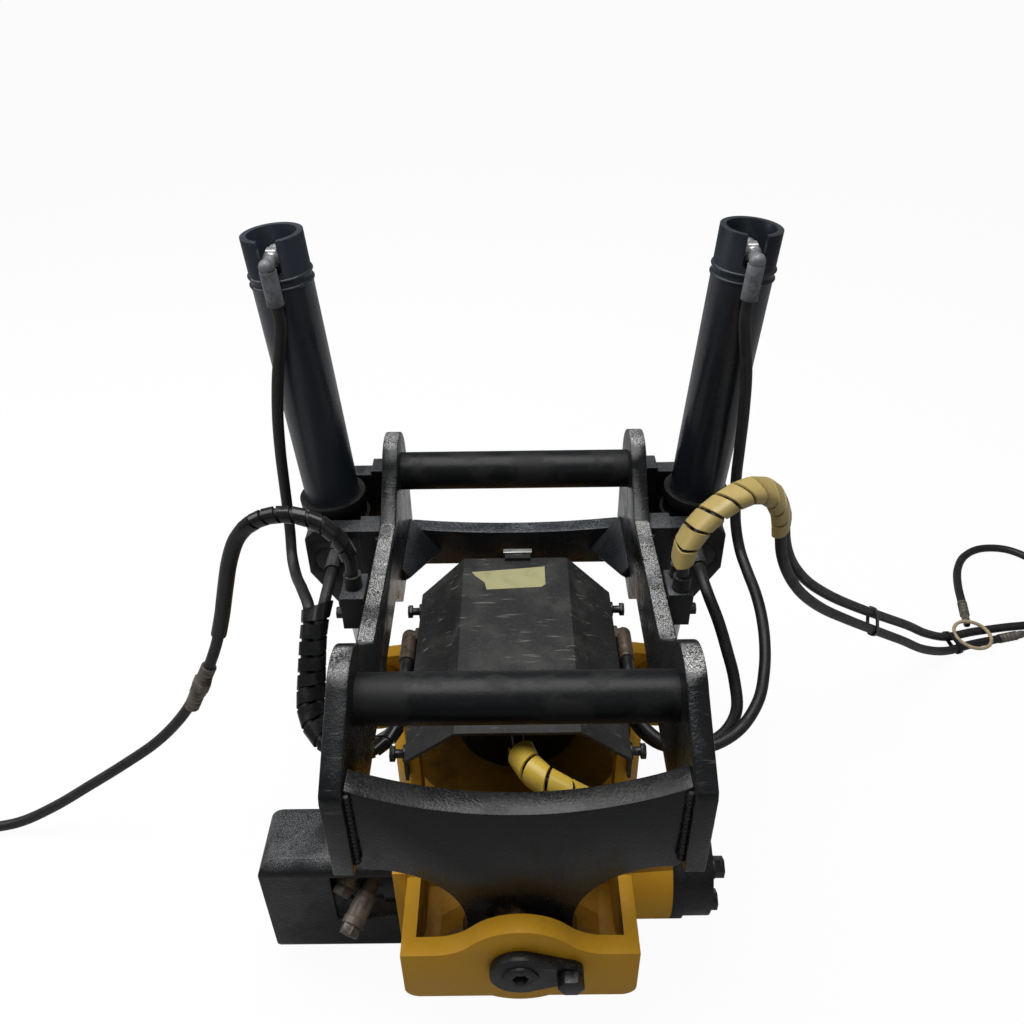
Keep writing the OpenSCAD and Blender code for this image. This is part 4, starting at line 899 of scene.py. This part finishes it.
class ROTATOR_OT_housing(Operator):
    """Dress the gear housing and what is bolted to it"""

    bl_idname = "rotator.housing"
    bl_label = "Gear housing"

    def execute(self, context):
        self.paint_shade(dressed("gear_housing", "housing_yellow", 0.0025))
        dressed("motor_guard", "guard_black", 0.0015)
        dressed("worm_cap", "plate_black", 0.002)
        dent(dressed("top_cover", "cover_black", 0.0008))
        self.coupling_caps()
        dressed("lock_plates", "plate_black", 0.0012)
        for node in ("cap_bolts", "lock_bolts", "cover_bolts"):
            dressed(node, "bolt_black", 0.0006)
        dressed("capped_couplings", "coupling_grey", 0.0008)
        dressed("port_elbows", "ferrule_rust", 0.0006)
        for node in ("swivel_block", "drive_motor", "bearing_carrier"):
            paint_node(node, "plate_black")
        for node in ("tilt_pin_front", "tilt_pin_rear", "lug_pins", "slew_bearings", "worm_bearings"):
            paint_node(node, "bare_steel")
        return {"FINISHED"}

    def paint_shade(self, piece):
        """Painted shade inside the front pockets and under the hood"""
        # The faces in the pockets and under the hood get the darker finish: painted shade
        piece.data.materials.append(FINISHES["housing_painted_shade"])
        for face in piece.data.polygons:
            x, y, z = face.center
            stays_lit = abs(face.normal.y) < 0.05 and z > LIT_Z
            if abs(x) < SHADE_X and SHADE_Y[0] < y < SHADE_Y[1] and z > SHADE_Z and not stays_lit:
                face.material_index = 1

    def coupling_caps(self):
        """Screwed dust caps on the two motor couplings"""
        axis = Vector(CAP_AXIS)
        for index, (head, length) in enumerate(CAPPED):
            place = Vector(head) + axis * (length - CAP_OVERLAP)
            parts = [turned([(0, 0), (12.6, 0), (13.2, 0.8), (13.2, 8), (12.6, 8.8), (0, 8.8)], place, axis),
                     turned([(0, 8), (11, 8), (11.8, 9), (11.8, 19), (11, 20), (0, 20)], place, axis, 6)]
            name = "coupling_cap_%d" % (index + 1)
            put(name, gather(name, parts), "coupling_grey", "housing")


class ROTATOR_OT_small_parts(Operator):
    """Add the tape, the tie ring, the barrel nuts and the weld beads"""

    bl_idname = "rotator.small_parts"
    bl_label = "Small parts"

    def execute(self, context):
        bead = context.scene.rotator_sizes.bead
        self.tape()
        self.tie_ring()
        self.plate("cover_tab", TAB_LOW, TAB_HIGH, "nut_bright")
        # Dark plates on the webs in the front pockets, in the painted shade finish
        for side, sign in (("left", -1), ("right", 1)):
            near, far = sorted((sign * WEB_X[0], sign * WEB_X[1]))
            low, high = (near, WEB_Y[0], WEB_Z[0]), (far, WEB_Y[1], WEB_Z[1])
            self.plate("slot_web_" + side, low, high, "housing_painted_shade")
        for side, sign in (("left", -1), ("right", 1)):
            self.barrel_nut(side, sign)
            for label, x, y, low, high in WELDS:
                path = [(sign * x, y, low), (sign * x, y, high)]
                weld("weld_%s_%s" % (label, side), path, "upper_frame", bead)
        return {"FINISHED"}

    def plate(self, name, low, high, material):
        """A small plate with softened edges between two corners, on the housing"""
        outline = [(low[0], low[1]), (high[0], low[1]), (high[0], high[1]), (low[0], high[1])]
        bm = slab(outline, low[2], high[2] - low[2])
        bmesh.ops.bevel(bm, geom=list(bm.edges), offset=PLATE_EDGE, offset_type="OFFSET", segments=2,
                        profile=0.5, affect="EDGES")
        put(name, to_mesh(bm, name), material, "housing")

    def tape(self):
        """A strip of bare tape on the cover's crown, with one torn corner"""
        bm = slab([(x * MM, y * MM) for x, y in TAPE_OUTLINE], TAPE_Z, TAPE_THICKNESS)
        put("tape_strip", to_mesh(bm, "tape_strip"), "paper_tape", "housing")

    def tie_ring(self):
        """A loose ring that lies on the two feed hoses"""
        bm = turned(RING_SECTION, RING_PLACE, RING_AXIS, 40)
        put("tie_ring", to_mesh(bm, "tie_ring"), "tie_beige", "housing")

    def barrel_nut(self, side, sign):
        """A bright union nut on the elbow in the barrel's mouth"""
        lean = math.radians(BARREL_LEAN)
        axis = Vector((sign * math.sin(lean), 0, math.cos(lean)))
        base = Vector((sign * BARREL_AXIS_X, BARREL_AXIS_Y, BARREL_AXIS_Z))
        place = base + axis * NUT_UP + Vector(NUT_OUT)
        out = (0, -1, 0)
        parts = [turned([(0, 0), (10.2, 0), (11.2, 1), (11.2, 11), (10.2, 12), (0, 12)], place, out, 6),
                 turned([(0, 11), (8.6, 11), (8.6, 17), (7.6, 18), (0, 18)], place, out)]
        name = "barrel_nut_" + side
        put(name, gather(name, parts), "nut_bright", "barrel_" + side)


class ROTATOR_OT_drive(Operator):
    """Give the rotor, worm and wheel their finishes"""

    bl_idname = "rotator.drive"
    bl_label = "Worm drive"

    def execute(self, context):
        paint_node("worm_wheel", "bronze")
        for node in ("rotor_hub", "wheel_bolts", "swivel_core", "worm_shaft", "worm_thread"):
            paint_node(node, "bare_steel")
        return {"FINISHED"}


class ROTATOR_OT_stage(Operator):
    """Make the floor, the soft light and the camera"""

    bl_idname = "rotator.stage"
    bl_label = "Studio"

    def execute(self, context):
        scene = context.scene
        scene.view_settings.view_transform = "Standard"
        bm = bmesh.new()
        bmesh.ops.create_grid(bm, x_segments=1, y_segments=1, size=FLOOR_SIZE)
        mesh = bpy.data.meshes.new("floor")
        bm.to_mesh(mesh)
        bm.free()
        floor = bpy.data.objects.new("floor", mesh)
        scene.collection.objects.link(floor)
        mesh.materials.append(self.floor_material())
        self.world(scene)
        for name, place, aim, size, power in LIGHTS:
            lamp = bpy.data.lights.new(name, "AREA")
            lamp.size = size
            lamp.energy = power
            holder = bpy.data.objects.new(name, lamp)
            holder.location = place
            holder.rotation_euler = (Vector(aim) - Vector(place)).to_track_quat("-Z", "Y").to_euler()
            scene.collection.objects.link(holder)
        camera = bpy.data.objects.new("camera", bpy.data.cameras.new("camera"))
        camera.data.sensor_width = CAMERA_SENSOR
        camera.data.lens = CAMERA_LENS
        turn = Matrix.Rotation(math.radians(CAMERA_TURN), 4, "Z")
        pitch = Matrix.Rotation(math.radians(CAMERA_PITCH), 4, "X")
        roll = Matrix.Rotation(math.radians(CAMERA_ROLL), 4, "Z")
        camera.matrix_world = Matrix.Translation(CAMERA_PLACE) @ (turn @ pitch) @ roll
        scene.collection.objects.link(camera)
        scene.camera = camera
        return {"FINISHED"}

    def floor_material(self):
        """A pale floor that glows white to the camera only"""
        material = bpy.data.materials.new("floor_white")
        material.use_nodes = True
        tree = material.node_tree
        shader = tree.nodes["Principled BSDF"]
        shader.inputs["Base Color"].default_value = FLOOR_COLOUR
        shader.inputs["Roughness"].default_value = FLOOR_ROUGHNESS
        glow = add(tree, "ShaderNodeEmission")
        glow.inputs["Strength"].default_value = FLOOR_GLOW
        path = add(tree, "ShaderNodeLightPath")
        part = add(tree, "ShaderNodeMath", [(path.outputs["Is Camera Ray"], 0)], operation="MULTIPLY")
        part.inputs[1].default_value = FLOOR_GLOW_SHARE
        shaders = [(part.outputs[0], 0), (shader.outputs[0], 1), (glow.outputs[0], 2)]
        mix = add(tree, "ShaderNodeMixShader", shaders)
        tree.links.new(mix.outputs[0], tree.nodes["Material Output"].inputs[0])
        return material

    def world(self, scene):
        """Soft light from all sides, and a white background to the camera"""
        world = bpy.data.worlds.new("studio")
        world.use_nodes = True
        tree = world.node_tree
        soft = tree.nodes["Background"]
        soft.inputs["Color"].default_value = SKY_COLOUR
        soft.inputs["Strength"].default_value = SKY_STRENGTH
        white = add(tree, "ShaderNodeBackground")
        white.inputs["Color"].default_value = WHITE
        path = add(tree, "ShaderNodeLightPath")
        shaders = [(path.outputs["Is Camera Ray"], 0), (soft.outputs[0], 1), (white.outputs[0], 2)]
        mix = add(tree, "ShaderNodeMixShader", shaders)
        tree.links.new(mix.outputs[0], tree.nodes["World Output"].inputs[0])
        scene.world = world


OPERATORS = (ROTATOR_OT_finishes, ROTATOR_OT_hoses, ROTATOR_OT_wraps, ROTATOR_OT_hitch, ROTATOR_OT_cylinders,
             ROTATOR_OT_housing, ROTATOR_OT_drive, ROTATOR_OT_small_parts, ROTATOR_OT_stage)


class ROTATOR_PT_panel(Panel):
    """Lists the steps, sizes and colours in the 3D view's sidebar"""

    bl_label = "Tilt rotator"
    bl_idname = "ROTATOR_PT_panel"
    bl_space_type = "VIEW_3D"
    bl_region_type = "UI"
    bl_category = "Rotator"

    def draw(self, context):
        for operator in OPERATORS:
            self.layout.operator(operator.bl_idname)
        for group in (context.scene.rotator_sizes, context.scene.rotator_colours):
            box = self.layout.box()
            for key in group.__annotations__:
                box.prop(group, key)


CLASSES = (RotatorSizes, RotatorColours, *OPERATORS, ROTATOR_PT_panel)


def register():
    for cls in CLASSES:
        bpy.utils.register_class(cls)
    bpy.types.Scene.rotator_sizes = PointerProperty(type=RotatorSizes)
    bpy.types.Scene.rotator_colours = PointerProperty(type=RotatorColours)


def unregister():
    del bpy.types.Scene.rotator_colours
    del bpy.types.Scene.rotator_sizes
    for cls in reversed(CLASSES):
        bpy.utils.unregister_class(cls)


def main():
    register()
    bpy.ops.rotator.finishes()
    bpy.ops.rotator.hoses()
    bpy.ops.rotator.wraps()
    bpy.ops.rotator.hitch()
    bpy.ops.rotator.cylinders()
    bpy.ops.rotator.housing()
    bpy.ops.rotator.drive()
    bpy.ops.rotator.small_parts()
    bpy.ops.rotator.stage()


if __name__ == "__main__":
    main()
